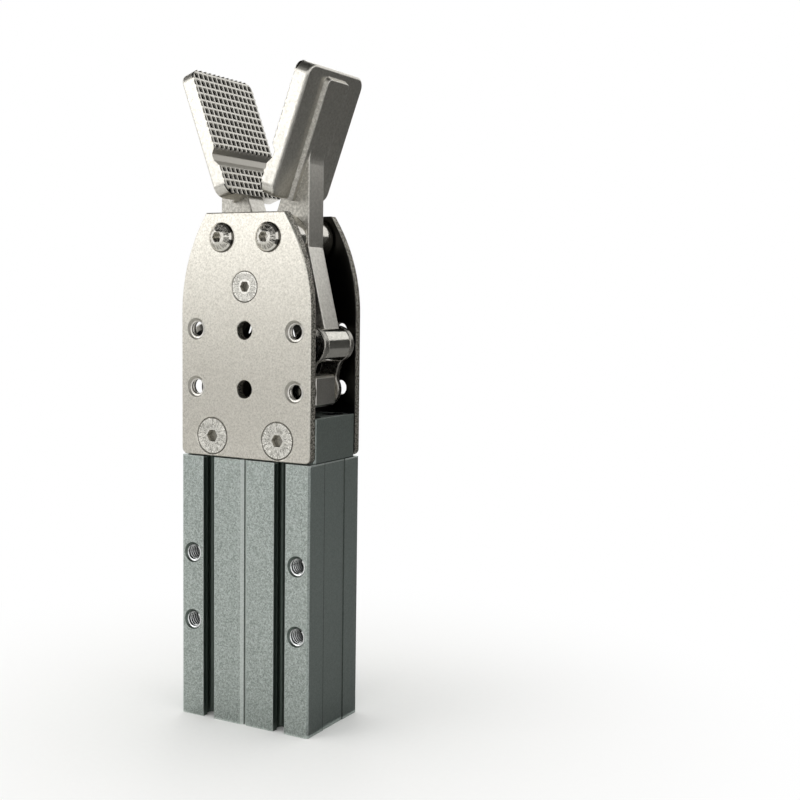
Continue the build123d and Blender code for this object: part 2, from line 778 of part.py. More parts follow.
def spacer_post():
    """Returns the round post that keeps the plates apart."""
    post = along_y(POST_RADIUS, -PLATE_INNER_Y, PLATE_INNER_Y, 0, POST_Z)
    depth = PLATE_INNER_Y - POST_SCREW_GRIP - SIDE_CLEARANCE
    post -= along_y(M4_RADIUS, -PLATE_INNER_Y, -depth, 0, POST_Z)
    return post - along_y(M4_RADIUS, depth, PLATE_INNER_Y, 0, POST_Z)


def post_screws():
    """Returns the two flat-head screws of the spacer post."""
    front = countersunk_screw(
        0, POST_Z, POST_SCREW_HEAD_RADIUS, M4_RADIUS, POST_SCREW_GRIP, HEX_KEY_M4
    )
    return Compound(children=[front, to_back(front)])


# Lever pivots


def right_pivot_shaft():
    """Returns the right lever's shaft, tapped at both ends."""
    shaft = along_y(
        PIVOT_SHAFT_RADIUS, -PLATE_INNER_Y, PLATE_INNER_Y, PIVOT_X, PIVOT_Z
    )
    depth = PLATE_INNER_Y - BUTTON_SCREW_GRIP - SIDE_CLEARANCE
    shaft -= along_y(M4_RADIUS, -PLATE_INNER_Y, -depth, PIVOT_X, PIVOT_Z)
    return shaft - along_y(M4_RADIUS, depth, PLATE_INNER_Y, PIVOT_X, PIVOT_Z)


def left_pivot_shaft():
    """Returns the left lever's shaft."""
    return to_left(right_pivot_shaft())


def button_screw(x, z):
    """Returns a domed socket screw on the front plate."""
    face_y = -BODY_DEPTH / 2
    top_y = face_y - BUTTON_HEAD_HEIGHT
    dome = (BUTTON_HEAD_RADIUS**2 + BUTTON_HEAD_HEIGHT**2) / (2 * BUTTON_HEAD_HEIGHT)
    dome *= 1.04
    rim = math.sqrt(dome**2 - BUTTON_HEAD_RADIUS**2)
    head = along_y(BUTTON_HEAD_RADIUS, top_y, face_y, x, z)
    head &= Pos(x, face_y + rim - 0.1 * BUTTON_HEAD_HEIGHT, z) * Sphere(dome)
    screw = head + along_y(M4_RADIUS, face_y, -PLATE_INNER_Y + BUTTON_SCREW_GRIP, x, z)
    socket = Pos(x, z) * hexagon(HEX_KEY_M4)
    return screw - slab_y(socket, top_y, top_y + SOCKET_DEPTH)


def pivot_screws():
    """Returns the four domed screws that hold the pivot shafts."""
    fronts = [button_screw(x, PIVOT_Z) for x in (-PIVOT_X, PIVOT_X)]
    return Compound(children=fronts + [to_back(screw) for screw in fronts])


def thrust_washers():
    """Returns the four washers between the hubs and the plates."""
    far = PLATE_INNER_Y - SIDE_CLEARANCE
    near = far - WASHER_THICKNESS
    bore = PIVOT_SHAFT_RADIUS + PIVOT_CLEARANCE
    outer = min(WASHER_RADIUS, PIVOT_X - SIDE_CLEARANCE)
    fronts = [
        along_y(outer, -far, -near, x, PIVOT_Z) - along_y(bore, -far, -near, x, PIVOT_Z)
        for x in (-PIVOT_X, PIVOT_X)
    ]
    return Compound(children=fronts + [to_back(washer) for washer in fronts])


# Levers


def opened(x, z):
    """Turns a point of the upright jaw, taken from the pivot, to the open lever."""
    turned_x, turned_z = turned(x, z, OPEN_ANGLE)
    return PIVOT_X + turned_x, PIVOT_Z + turned_z


def pit_row_levels():
    """Lists the middles of the rows of pits, the last one open at the pad's tip."""
    levels = []
    level = PAD_FOOT + PIT_FIRST_ROW
    while level - PIT_WIDTH / 2 < PAD_TIP:
        levels.append(level)
        level += PIT_ROW_PITCH
    return levels


def pit_column_places():
    """Lists the middles of the columns of pits, the outer ones open at the pad's sides."""
    middle = (PIT_COLUMNS - 1) / 2
    return [(column - middle) * PIT_COLUMN_PITCH for column in range(PIT_COLUMNS)]


def pad_pits():
    """Returns the cutter of the square pits in the pad's face, drawn from the pivot."""
    face = -PAD_FACE_OFFSET
    lift = PIT_DEPTH / 3
    floor_half = PIT_FLOOR / 2
    mouth_half = floor_half + (PIT_WIDTH - PIT_FLOOR) / 2 * (1 + lift / PIT_DEPTH)
    rows = Sketch()
    for level in pit_row_levels():
        rows += Polygon(
            (face - lift, level - mouth_half),
            (face + PIT_DEPTH, level - floor_half),
            (face + PIT_DEPTH, level + floor_half),
            (face - lift, level + mouth_half),
            align=None,
        )
    columns = Sketch()
    for place in pit_column_places():
        columns += Polygon(
            (face - lift, place - mouth_half),
            (face + PIT_DEPTH, place - floor_half),
            (face + PIT_DEPTH, place + floor_half),
            (face - lift, place + mouth_half),
            align=None,
        )
    half = PAD_WIDTH / 2 + PIT_WIDTH
    bars = slab_y(rows, -half, half)
    return bars & slab_z(columns, PAD_FOOT - PIT_WIDTH, PAD_TIP + PIT_WIDTH)


def pad_cross_groove():
    """Returns the cutter of the flat-bottomed groove across the pad's face."""
    face = -PAD_FACE_OFFSET
    floor_top = CROSS_GROOVE_TOP - CROSS_GROOVE_UPPER_FLANK
    floor_bottom = floor_top - CROSS_GROOVE_FLOOR
    bottom = floor_bottom - CROSS_GROOVE_LOWER_FLANK
    section = Polygon(
        (face - CROSS_GROOVE_DEPTH, CROSS_GROOVE_TOP),
        (face, CROSS_GROOVE_TOP),
        (face + CROSS_GROOVE_DEPTH, floor_top),
        (face + CROSS_GROOVE_DEPTH, floor_bottom),
        (face, bottom),
        (face - CROSS_GROOVE_DEPTH, bottom),
        align=None,
    )
    corners = section.vertices().sort_by(Axis.X)[-2:]
    section = fillet(corners, CROSS_GROOVE_CORNER)
    return slab_y(section, -PAD_WIDTH / 2, PAD_WIDTH / 2)


def upright_pad():
    """Returns the jaw pad with its rib, pits and cross groove, drawn from the pivot."""
    pad = Pos(
        -(PAD_FACE_OFFSET + PAD_BACK_OFFSET) / 2, 0, (PAD_FOOT + PAD_TIP) / 2
    ) * Box(PAD_THICKNESS, PAD_WIDTH, PAD_TIP - PAD_FOOT)
    pad = fillet(pad.edges().filter_by(Axis.X), PAD_CORNER_RADIUS)
    back_face = pad.faces().sort_by(Axis.X)[-1]
    pad = fillet(back_face.edges(), PAD_BACK_RADIUS)
    pad -= pad_pits()
    pad -= pad_cross_groove()
    return pad + pad_rib()


def pad_rib():
    """Returns the rib on the pad's back, with drafted sides and round upper corners."""
    depth = RIB_HEIGHT + PAD_THICKNESS / 4
    spread = depth * math.tan(math.radians(RIB_DRAFT))
    foot = PAD_FOOT
    tip = PAD_TIP - RIB_TIP_MARGIN

    def outline(offset, grow):
        """Returns the rib's outline at a distance in front of the pivot."""
        half = RIB_WIDTH / 2 + grow
        plane = Plane(origin=(offset, 0, 0), x_dir=(0, 1, 0), z_dir=(1, 0, 0))
        shape = Polygon(
            (-half, foot), (half, foot), (half, tip + grow), (-half, tip + grow), align=None
        )
        top = shape.vertices().sort_by(Axis.Y)[-2:]
        return plane * fillet(top, RIB_CORNER_RADIUS + grow)

    rib = loft([outline(-RIB_OFFSET - depth, spread), outline(-RIB_OFFSET, 0.0)])
    rib_face = rib.faces().sort_by(Axis.X)[-1]
    return fillet(rib_face.edges(), RIB_EDGE_RADIUS)


def lever_web():
    """Returns the flat web that runs from behind the pad, past the hub, to the boss."""
    lean = math.tan(math.radians(ARM_LEAN))
    inset = PAD_THICKNESS / 4
    tilt = math.radians(OPEN_ANGLE)
    top_level = (WEB_OUTWARD + RIB_OFFSET * math.cos(tilt)) / math.sin(tilt)
    top_z = opened(-RIB_OFFSET, top_level)[1]
    blend_level = top_level + 2 * WEB_BLEND_RADIUS * math.tan(tilt / 2)
    arm_x, arm_z = BOSS_X - PIVOT_X, BOSS_Z - PIVOT_Z
    length = math.hypot(arm_x, arm_z)
    inward_x, inward_z = arm_z / length, -arm_x / length
    hub_side = 0.9 * HUB_RADIUS
    boss_side = 0.9 * BOSS_RADIUS
    heel_x = BOSS_X - ARM_HEEL_RISE * arm_x / length + ARM_HEEL_OFFSET * inward_x
    heel_z = BOSS_Z - ARM_HEEL_RISE * arm_z / length + ARM_HEEL_OFFSET * inward_z
    outline = Polygon(
        opened(-WEB_INNER_OFFSET, 0),
        opened(-WEB_INNER_OFFSET, PAD_FOOT + inset),
        opened(-PAD_BACK_OFFSET - inset, blend_level),
        opened(-RIB_OFFSET, blend_level),
        (WEB_OUTER_X, top_z),
        (WEB_OUTER_X, WEB_ELBOW_Z),
        (WEB_OUTER_X + (WEB_ELBOW_Z - BOSS_Z) * lean, BOSS_Z),
        (BOSS_X, BOSS_Z),
        (BOSS_X + inward_x * boss_side, BOSS_Z + inward_z * boss_side),
        (heel_x, heel_z),
        (PIVOT_X + inward_x * hub_side, PIVOT_Z + inward_z * hub_side),
        align=None,
    )
    corner = [
        vertex
        for vertex in outline.vertices()
        if math.hypot(vertex.X - WEB_OUTER_X, vertex.Y - top_z) < 0.01
    ]
    outline = fillet(corner, WEB_BLEND_RADIUS)
    web = slab_y(outline, -WEB_THICKNESS / 2, WEB_THICKNESS / 2)
    rims = web.faces().filter_by(Axis.Y)
    return fillet(rims.edges(), WEB_EDGE_RADIUS)


def boss_bore():
    """Returns the cutter of the boss's elongated bore, which gives the link pin room."""
    radius = LINK_PIN_RADIUS + 4 * LINK_PIN_CLEARANCE
    sketch = Sketch()
    steps = 12
    for step in range(steps + 1):
        shift_x, shift_z = bore_shift(step / steps)
        sketch += Pos(BOSS_X + shift_x, BOSS_Z + shift_z) * Circle(radius)
    return slab_y(sketch, -BOSS_HALF_LENGTH, BOSS_HALF_LENGTH)


def right_lever():
    """Returns the right lever, one casting from the jaw pad to the link boss."""
    lever = Pos(PIVOT_X, 0, PIVOT_Z) * Rot(0, OPEN_ANGLE, 0) * upright_pad()
    lever += lever_web()
    lever += along_y(HUB_RADIUS, -HUB_HALF_LENGTH, HUB_HALF_LENGTH, PIVOT_X, PIVOT_Z)
    lever += along_y(
        BOSS_RADIUS, -BOSS_HALF_LENGTH, BOSS_HALF_LENGTH, BOSS_X, BOSS_Z
    )
    bore = PIVOT_SHAFT_RADIUS + PIVOT_BUSH_WALL
    lever -= along_y(bore, -HUB_HALF_LENGTH, HUB_HALF_LENGTH, PIVOT_X, PIVOT_Z)
    return lever - boss_bore()


def left_lever():
    """Returns the left lever."""
    return to_left(right_lever())


def right_lever_bushes():
    """Returns the two bushes pressed into the right hub."""
    outer = PIVOT_SHAFT_RADIUS + PIVOT_BUSH_WALL
    inner = PIVOT_SHAFT_RADIUS + PIVOT_CLEARANCE
    low, high = HUB_HALF_LENGTH - PIVOT_BUSH_LENGTH, HUB_HALF_LENGTH
    bush = along_y(outer, low, high, PIVOT_X, PIVOT_Z)
    bush -= along_y(inner, low, high, PIVOT_X, PIVOT_Z)
    return Compound(children=[bush, to_back(bush)])


def left_lever_bushes():
    """Returns the two bushes pressed into the left hub."""
    return to_left(right_lever_bushes())


# Crosshead and links


def crosshead():
    """Returns the bar on the rod's end that carries the links' lower pins."""
    bar = Pos(0, 0, CROSSHEAD_Z) * Box(
        CROSSHEAD_WIDTH, 2 * BOSS_HALF_LENGTH, CROSSHEAD_HEIGHT
    )
    bar = chamfer(bar.edges(), CROSSHEAD_EDGE)
    bar -= along_z(ROD_STUB_RADIUS, CROSSHEAD_BOTTOM, CROSSHEAD_TOP)
    for x in (-CROSSHEAD_PIN_X, CROSSHEAD_PIN_X):
        bar -= along_y(
            LINK_PIN_RADIUS, -BOSS_HALF_LENGTH, BOSS_HALF_LENGTH, x, CROSSHEAD_Z
        )
    return bar


def crosshead_nut():
    """Returns the nut that holds the crosshead on the rod."""
    return jam_nut(CROSSHEAD_TOP)


def link_pin(x, z):
    """Returns a link pin with a clip groove near each end."""
    pin = along_y(LINK_PIN_RADIUS, -PIN_END_Y, PIN_END_Y, x, z)
    near = CLIP_NEAR_Y - SIDE_CLEARANCE / 2
    far = CLIP_NEAR_Y + CLIP_THICKNESS + SIDE_CLEARANCE / 2
    for low, high in ((near, far), (-far, -near)):
        collar = along_y(2 * LINK_PIN_RADIUS, low, high, x, z)
        pin -= collar - along_y(CLIP_GROOVE_RADIUS, low, high, x, z)
    return pin


def pin_clip(x, z, side):
    """Returns the open clip on one end of a pin."""
    shape = Circle(CLIP_RADIUS) - Circle(CLIP_GROOVE_RADIUS)
    shape -= Pos(0, CLIP_RADIUS) * Rectangle(CLIP_MOUTH, 2 * CLIP_RADIUS)
    for turn in (-1, 1):
        notch = Pos(turn * CLIP_RADIUS * 0.8, CLIP_RADIUS * 0.1)
        shape -= notch * Circle(CLIP_RADIUS * 0.24)
    low, high = sorted((side * CLIP_NEAR_Y, side * (CLIP_NEAR_Y + CLIP_THICKNESS)))
    return slab_y(Pos(x, z) * shape, low, high)


def crosshead_pins():
    """Returns the two pins pressed into the crosshead."""
    pins = [link_pin(x, CROSSHEAD_Z) for x in (-CROSSHEAD_PIN_X, CROSSHEAD_PIN_X)]
    return Compound(children=pins)


def crosshead_pin_clips():
    """Returns the four clips on the crosshead's pins."""
    clips = [
        pin_clip(x, CROSSHEAD_Z, side)
        for x in (-CROSSHEAD_PIN_X, CROSSHEAD_PIN_X)
        for side in (-1, 1)
    ]
    return Compound(children=clips)


def link_sketch():
    """Returns the waisted link in (x, z), at rest on the right."""
    length = link_length()
    lower = Circle(LINK_LOWER_RADIUS)
    upper = Pos(0, length) * Circle(LINK_UPPER_RADIUS)
    shape = lower + upper
    shape += Pos(0, length / 2) * Rectangle(LINK_WAIST, length)
    corners = [
        vertex
        for vertex in shape.vertices()
        if 0.5 < vertex.Y < length - 0.5 and abs(abs(vertex.X) - LINK_WAIST / 2) < 0.01
    ]
    shape = fillet(corners, LINK_WAIST / 2)
    shape -= Circle(LINK_PIN_RADIUS + LINK_PIN_CLEARANCE)
    shape -= Pos(0, length) * Circle(LINK_PIN_RADIUS)
    placed = Pos(CROSSHEAD_PIN_X, CROSSHEAD_Z) * Rot(0, 0, -link_angle_open())
    return placed * shape


def right_front_link():
    """Returns the link plate in front of the right boss, with a rounded rim."""
    link = slab_y(link_sketch(), -LINK_FAR_Y, -LINK_NEAR_Y)
    rims = [face.outer_wire().edges() for face in link.faces().filter_by(Axis.Y)]
    return fillet(rims[0] + rims[1], LINK_EDGE_RADIUS)


def right_back_link():
    """Returns the link plate behind the right boss."""
    return to_back(right_front_link())


def left_front_link():
    """Returns the link plate in front of the left boss."""
    return to_left(right_front_link())


def left_back_link():
    """Returns the link plate behind the left boss."""
    return to_left(right_back_link())


def right_link_pin():
    """Returns the pin pressed into the right links, through the boss."""
    return link_pin(BOSS_X, BOSS_Z)


def left_link_pin():
    """Returns the pin pressed into the left links."""
    return to_left(right_link_pin())


def right_link_pin_clips():
    """Returns the two clips on the right link pin."""
    return Compound(children=[pin_clip(BOSS_X, BOSS_Z, side) for side in (-1, 1)])


def left_link_pin_clips():
    """Returns the two clips on the left link pin."""
    return to_left(right_link_pin_clips())


PIECES = [
    cylinder_body,
    end_cap,
    end_cap_o_ring,
    retaining_ring,
    end_bumper,
    piston,
    piston_wear_ring,
    piston_magnet,
    piston_seal,
    piston_nut,
    piston_rod,
    return_spring,
    cylinder_head,
    head_o_ring,
    rod_bush,
    rod_wiper,
    head_screws,
    front_side_plate,
    back_side_plate,
    foot_screws,
    spacer_post,
    post_screws,
    right_pivot_shaft,
    left_pivot_shaft,
    pivot_screws,
    thrust_washers,
    right_lever,
    left_lever,
    right_lever_bushes,
    left_lever_bushes,
    crosshead,
    crosshead_nut,
    crosshead_pins,
    crosshead_pin_clips,
    right_front_link,
    right_back_link,
    left_front_link,
    left_back_link,
    right_link_pin,
    left_link_pin,
    right_link_pin_clips,
    left_link_pin_clips,
]

os.makedirs("parts", exist_ok=True)
for piece in PIECES:
    export_step(piece(), f"parts/{piece.__name__}.step")

print("stroke", round(stroke(), 3), "mm")
print("link turns", round(link_angle_closed() - link_angle_open(), 3), "degrees")
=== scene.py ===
"""Looks of an angular two-jaw air gripper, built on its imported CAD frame.

Every length in a class field is in millimetres unless its name ends in _m, and is
turned to metres where it reaches Blender. Angles in fields are in degrees.
"""

import logging
import math
from dataclasses import dataclass, field
from enum import Enum

import bmesh
import bpy
from mathutils import Matrix, Vector


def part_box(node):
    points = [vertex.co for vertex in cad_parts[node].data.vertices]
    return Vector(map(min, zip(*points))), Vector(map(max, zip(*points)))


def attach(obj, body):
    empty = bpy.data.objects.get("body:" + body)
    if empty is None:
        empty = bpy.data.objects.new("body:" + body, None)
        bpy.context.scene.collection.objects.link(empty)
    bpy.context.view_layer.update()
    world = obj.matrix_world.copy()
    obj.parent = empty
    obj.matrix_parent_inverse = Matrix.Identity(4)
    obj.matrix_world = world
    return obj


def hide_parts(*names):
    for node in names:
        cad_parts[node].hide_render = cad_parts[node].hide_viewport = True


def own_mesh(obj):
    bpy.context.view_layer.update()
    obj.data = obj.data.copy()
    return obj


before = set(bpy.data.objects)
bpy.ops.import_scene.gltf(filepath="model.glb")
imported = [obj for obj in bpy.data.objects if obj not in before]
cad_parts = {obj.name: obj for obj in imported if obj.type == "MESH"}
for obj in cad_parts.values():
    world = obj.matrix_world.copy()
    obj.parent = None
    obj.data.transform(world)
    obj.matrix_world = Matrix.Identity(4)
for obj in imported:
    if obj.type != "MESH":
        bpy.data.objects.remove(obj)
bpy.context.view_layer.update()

LOG = logging.getLogger("gripper")
MM = 0.001
Tree = bpy.types.NodeTree
Socket = bpy.types.NodeSocket


def hex_to_linear(code: str) -> tuple[float, float, float, float]:
    """Turns an sRGB hex colour into linear values.

    Args:
        code: The colour as a hash sign and six hex digits.

    Returns:
        Red, green, blue and an alpha of one, in linear light.
    """
    values = [int(code[i : i + 2], 16) / 255 for i in (1, 3, 5)]
    linear = [v / 12.92 if v <= 0.04045 else ((v + 0.055) / 1.055) ** 2.4 for v in values]
    return (linear[0], linear[1], linear[2], 1.0)


def add_node(
    tree: Tree,
    kind: str,
    settings: dict | None = None,
    links: dict | None = None,
) -> bpy.types.Node:
    """Adds one shader node with its settings and the links into it.

    Args:
        tree: The node tree to add to.
        kind: The node's type name in Blender.
        settings: Property or input name to value.
        links: Input name or index to the output socket that feeds it.

    Returns:
        The new node.
    """
    node = tree.nodes.new(kind)
    for key, value in (settings or {}).items():
        if isinstance(key, str) and hasattr(node, key):
            setattr(node, key, value)
        else:
            node.inputs[key].default_value = value
    for key, source in (links or {}).items():
        tree.links.new(source, node.inputs[key])
    return node


def new_material(name: str) -> tuple[bpy.types.Material, Tree, bpy.types.Node]:
    """Makes an empty node material.

    Args:
        name: The material's name.

    Returns:
        The material, its node tree and its output node.
    """
    material = bpy.data.materials.new(name)
    material.use_nodes = True
    tree = material.node_tree
    tree.nodes.clear()
    return material, tree, add_node(tree, "ShaderNodeOutputMaterial")


def per_metre(size_mm: float) -> float:
    """Returns the texture scale that draws a feature at a size in millimetres."""
    return 1000.0 / size_mm


class Axis(Enum):
    """An axis of the frame: across the width, from front to back, or upwards."""

    X = (1.0, 0.0, 0.0)
    Y = (0.0, 1.0, 0.0)
    Z = (0.0, 0.0, 1.0)


def either_way(tree: Tree, vector: Socket, axis: Axis) -> Socket:
    """Takes a vector's part along an axis, whichever way it points.

    Args:
        tree: The material's node tree.
        vector: A place or a direction.
        axis: The axis.

    Returns:
        The socket of the part, which is never below zero.
    """
    parts = add_node(tree, "ShaderNodeSeparateXYZ", {}, {0: vector})
    size = add_node(
        tree, "ShaderNodeMath", {"operation": "ABSOLUTE"}, {0: parts.outputs[axis.name]}
    )
    return size.outputs[0]


def from_axis(
    tree: Tree, place: Socket, x_mm: float, z_mm: float, middle_mm: float = 0.0
) -> tuple[Socket, Socket]:
    """Measures from the nearest of the holes, screws or pivots that are mirrored on a face.

    Args:
        tree: The material's node tree.
        place: The place on the object, in metres.
        x_mm: How far the axis lies left or right of the middle.
        z_mm: How far the axis lies above or below the level that it is mirrored about.
        middle_mm: The height of that level.

    Returns:
        The sockets of the offset from the axis and of the distance from it, in metres.
    """
    level = add_node(
        tree,
        "ShaderNodeVectorMath",
        {"operation": "SUBTRACT", 1: (0.0, 0.0, middle_mm * MM)},
        {0: place},
    )
    folded = add_node(
        tree, "ShaderNodeVectorMath", {"operation": "ABSOLUTE"}, {0: level.outputs["Vector"]}
    )
    offset = add_node(
        tree,
        "ShaderNodeVectorMath",
        {"operation": "SUBTRACT", 1: (x_mm * MM, 0.0, z_mm * MM)},
        {0: folded.outputs["Vector"]},
    )
    flat = add_node(
        tree,
        "ShaderNodeVectorMath",
        {"operation": "MULTIPLY", 1: (1.0, 0.0, 1.0)},
        {0: offset.outputs["Vector"]},
    )
    distance = add_node(
        tree, "ShaderNodeVectorMath", {"operation": "LENGTH"}, {0: flat.outputs["Vector"]}
    )
    return offset.outputs["Vector"], distance.outputs["Value"]


class Join(Enum):
    """How masks are joined: where all of them hold, or where any does."""

    ALL = "MULTIPLY"
    ANY = "MAXIMUM"


class Test(Enum):
    """How a measure is tested: near its limit, below it or above it."""

    NEAR = "COMPARE"
    BELOW = "LESS_THAN"
    ABOVE = "GREATER_THAN"


def joined(tree: Tree, how: Join, *masks: Socket) -> Socket:
    """Joins masks into one.

    Args:
        tree: The material's node tree.
        how: Whether all of them have to hold, or any.
        masks: The masks, each from 0 to 1.

    Returns:
        The socket of the joined mask.
    """
    whole = masks[0]
    for mask in masks[1:]:
        node = add_node(tree, "ShaderNodeMath", {"operation": how.value}, {0: whole, 1: mask})
        whole = node.outputs[0]
    return whole


def within(tree: Tree, *tests: tuple[Socket | Test | float, ...]) -> Socket:
    """Finds where every one of several tests holds.

    Args:
        tree: The material's node tree.
        tests: Each has the socket of a measure, the kind of test and the limit in
            millimetres, and with NEAR also how far off the limit the measure may be.

    Returns:
        The socket that is one there, and zero elsewhere.
    """
    masks = []
    for measured, kind, *limits in tests:
        settings = {"operation": kind.value}
        settings.update({place: limit * MM for place, limit in enumerate(limits, 1)})
        masks.append(add_node(tree, "ShaderNodeMath", settings, {0: measured}).outputs[0])
    return joined(tree, Join.ALL, *masks)


def layered(tree: Tree, plain: Socket, *marks: tuple[str, Socket]) -> Socket:
    """Lays the colours of a piece's marks over its plain colour.

    Args:
        tree: The material's node tree.
        plain: The colour below them.
        marks: The sRGB hex colour and the mask of each, the lowest first.

    Returns:
        The socket of the finished colour.
    """
    for colour, mask in marks:
        mix = add_node(
            tree,
            "ShaderNodeMix",
            {"data_type": "RGBA", "clamp_factor": True, 7: hex_to_linear(colour)},
            {0: mask, 6: plain},
        )
        plain = mix.outputs[2]
    return plain


def link(name: str, data: bpy.types.ID) -> bpy.types.Object:
    """Adds an object to the scene.

    Args:
        name: The object's name.
        data: The mesh, lamp or camera that it holds.

    Returns:
        The new object.
    """
    piece = bpy.data.objects.new(name, data)
    bpy.context.scene.collection.objects.link(piece)
    return piece


def skin_rings(
    name: str, rings: list[list[Vector]], material: bpy.types.Material, smooth: bool = False
) -> bpy.types.Object:
    """Joins rings of corners into one closed skin.

    Args:
        name: The name of the object and of its mesh.
        rings: The corners of every ring, in metres and all in the same order.
        material: The finish.
        smooth: Whether the skin between the rings is shaded smooth.

    Returns:
        The new object.
    """
    shape = bmesh.new()
    placed = [[shape.verts.new(corner) for corner in ring] for ring in rings]
    for near, far in zip(placed, placed[1:]):
        for i in range(len(near)):
            j = (i + 1) % len(near)
            shape.faces.new((near[i], near[j], far[j], far[i])).smooth = smooth
    shape.faces.new(placed[0][::-1])
    shape.faces.new(placed[-1])
    bmesh.ops.recalc_face_normals(shape, faces=shape.faces)
    mesh = bpy.data.meshes.new(name)
    shape.to_mesh(mesh)
    shape.free()
    mesh.materials.append(material)
    return link(name, mesh)


def dress(node: str, material: bpy.types.Material) -> None:
    """Gives a CAD node its material.

    Args:
        node: The CAD node's name.
        material: The material that covers all of it.
    """
    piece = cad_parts[node]
    piece.data.materials.clear()
    piece.data.materials.append(material)
    LOG.info("dressed %s in %s", node, material.name)


@dataclass(frozen=True)
class GrainyMetal:
    """A metal whose surface is an even, undirected grain: blasted, cast or tumbled."""

    name: str
    colour: str
    shade: str
    roughness: float
    grain_mm: float
    grain_height_mm: float
    grain_detail: float = 2.0
    softness: float = 0.2
    roughness_spread: float = 0.06
    edge_mm: float = 0.2

    def _grain(self, tree: Tree, place: Socket) -> Socket:
        """Draws the even grain.

        Args:
            tree: The material's node tree.
            place: The place on the object, in metres.

        Returns:
            The socket of the grain, from 0 to 1.
        """
        grain = add_node(
            tree,
            "ShaderNodeTexNoise",
            {
                "Scale": per_metre(self.grain_mm),
                "Detail": self.grain_detail,
                "Roughness": 0.7,
            },
            {"Vector": place},
        )
        return grain.outputs["Fac"]

    def _tint(self, tree: Tree, place: Socket, plain: Socket) -> Socket:
        """Returns the colour after the marks of the piece itself, here none.

        Args:
            tree: The material's node tree.
            place: The place on the object, in metres.
            plain: The colour of the plain grain.

        Returns:
            The socket of the finished colour.
        """
        return plain

    def _gloss(self, tree: Tree, place: Socket, plain: Socket) -> Socket:
        """Returns the roughness after the marks of the piece itself, here none.

        Args:
            tree: The material's node tree.
            place: The place on the object, in metres.
            plain: The roughness of the plain grain.

        Returns:
            The socket of the finished roughness.
        """
        return plain

    def _relief(self, tree: Tree, place: Socket, plain: Socket) -> Socket:
        """Returns the height after the marks of the piece itself, here none.

        Args:
            tree: The material's node tree.
            place: The place on the object, in metres.
            plain: The height of the plain grain, from 0 to 1.

        Returns:
            The socket of the finished height.
        """
        return plain

    def build(self) -> bpy.types.Material:
        """Makes the material.

        Returns:
            The material.
        """
        material, tree, output = new_material(self.name)
        place = add_node(tree, "ShaderNodeTexCoord").outputs["Object"]
        grain = self._grain(tree, place)
        tone = add_node(
            tree,
            "ShaderNodeMapRange",
            {"From Min": 0.5 - self.softness, "From Max": 0.5 + self.softness},
            {"Value": grain},
        )
        colour = add_node(
            tree,
            "ShaderNodeMix",
            {"data_type": "RGBA", 6: hex_to_linear(self.shade), 7: hex_to_linear(self.colour)},
            {0: tone.outputs["Result"]},
        )
        rough = add_node(
            tree,
            "ShaderNodeMapRange",
            {
                "To Min": self.roughness + self.roughness_spread,
                "To Max": self.roughness - self.roughness_spread,
            },
            {"Value": grain},
        )
        rounded = add_node(tree, "ShaderNodeBevel", {"samples": 4, "Radius": self.edge_mm * MM})
        bump = add_node(
            tree,
            "ShaderNodeBump",
            {"Strength": 1.0, "Distance": self.grain_height_mm * MM},
            {"Height": self._relief(tree, place, grain), "Normal": rounded.outputs["Normal"]},
        )
        shader = add_node(
            tree,
            "ShaderNodeBsdfPrincipled",
            {"Metallic": 1.0},
            {
                "Base Color": self._tint(tree, place, colour.outputs[2]),
                "Roughness": self._gloss(tree, place, rough.outputs["Result"]),
                "Normal": bump.outputs["Normal"],
            },
        )
        tree.links.new(shader.outputs["BSDF"], output.inputs["Surface"])
        return material


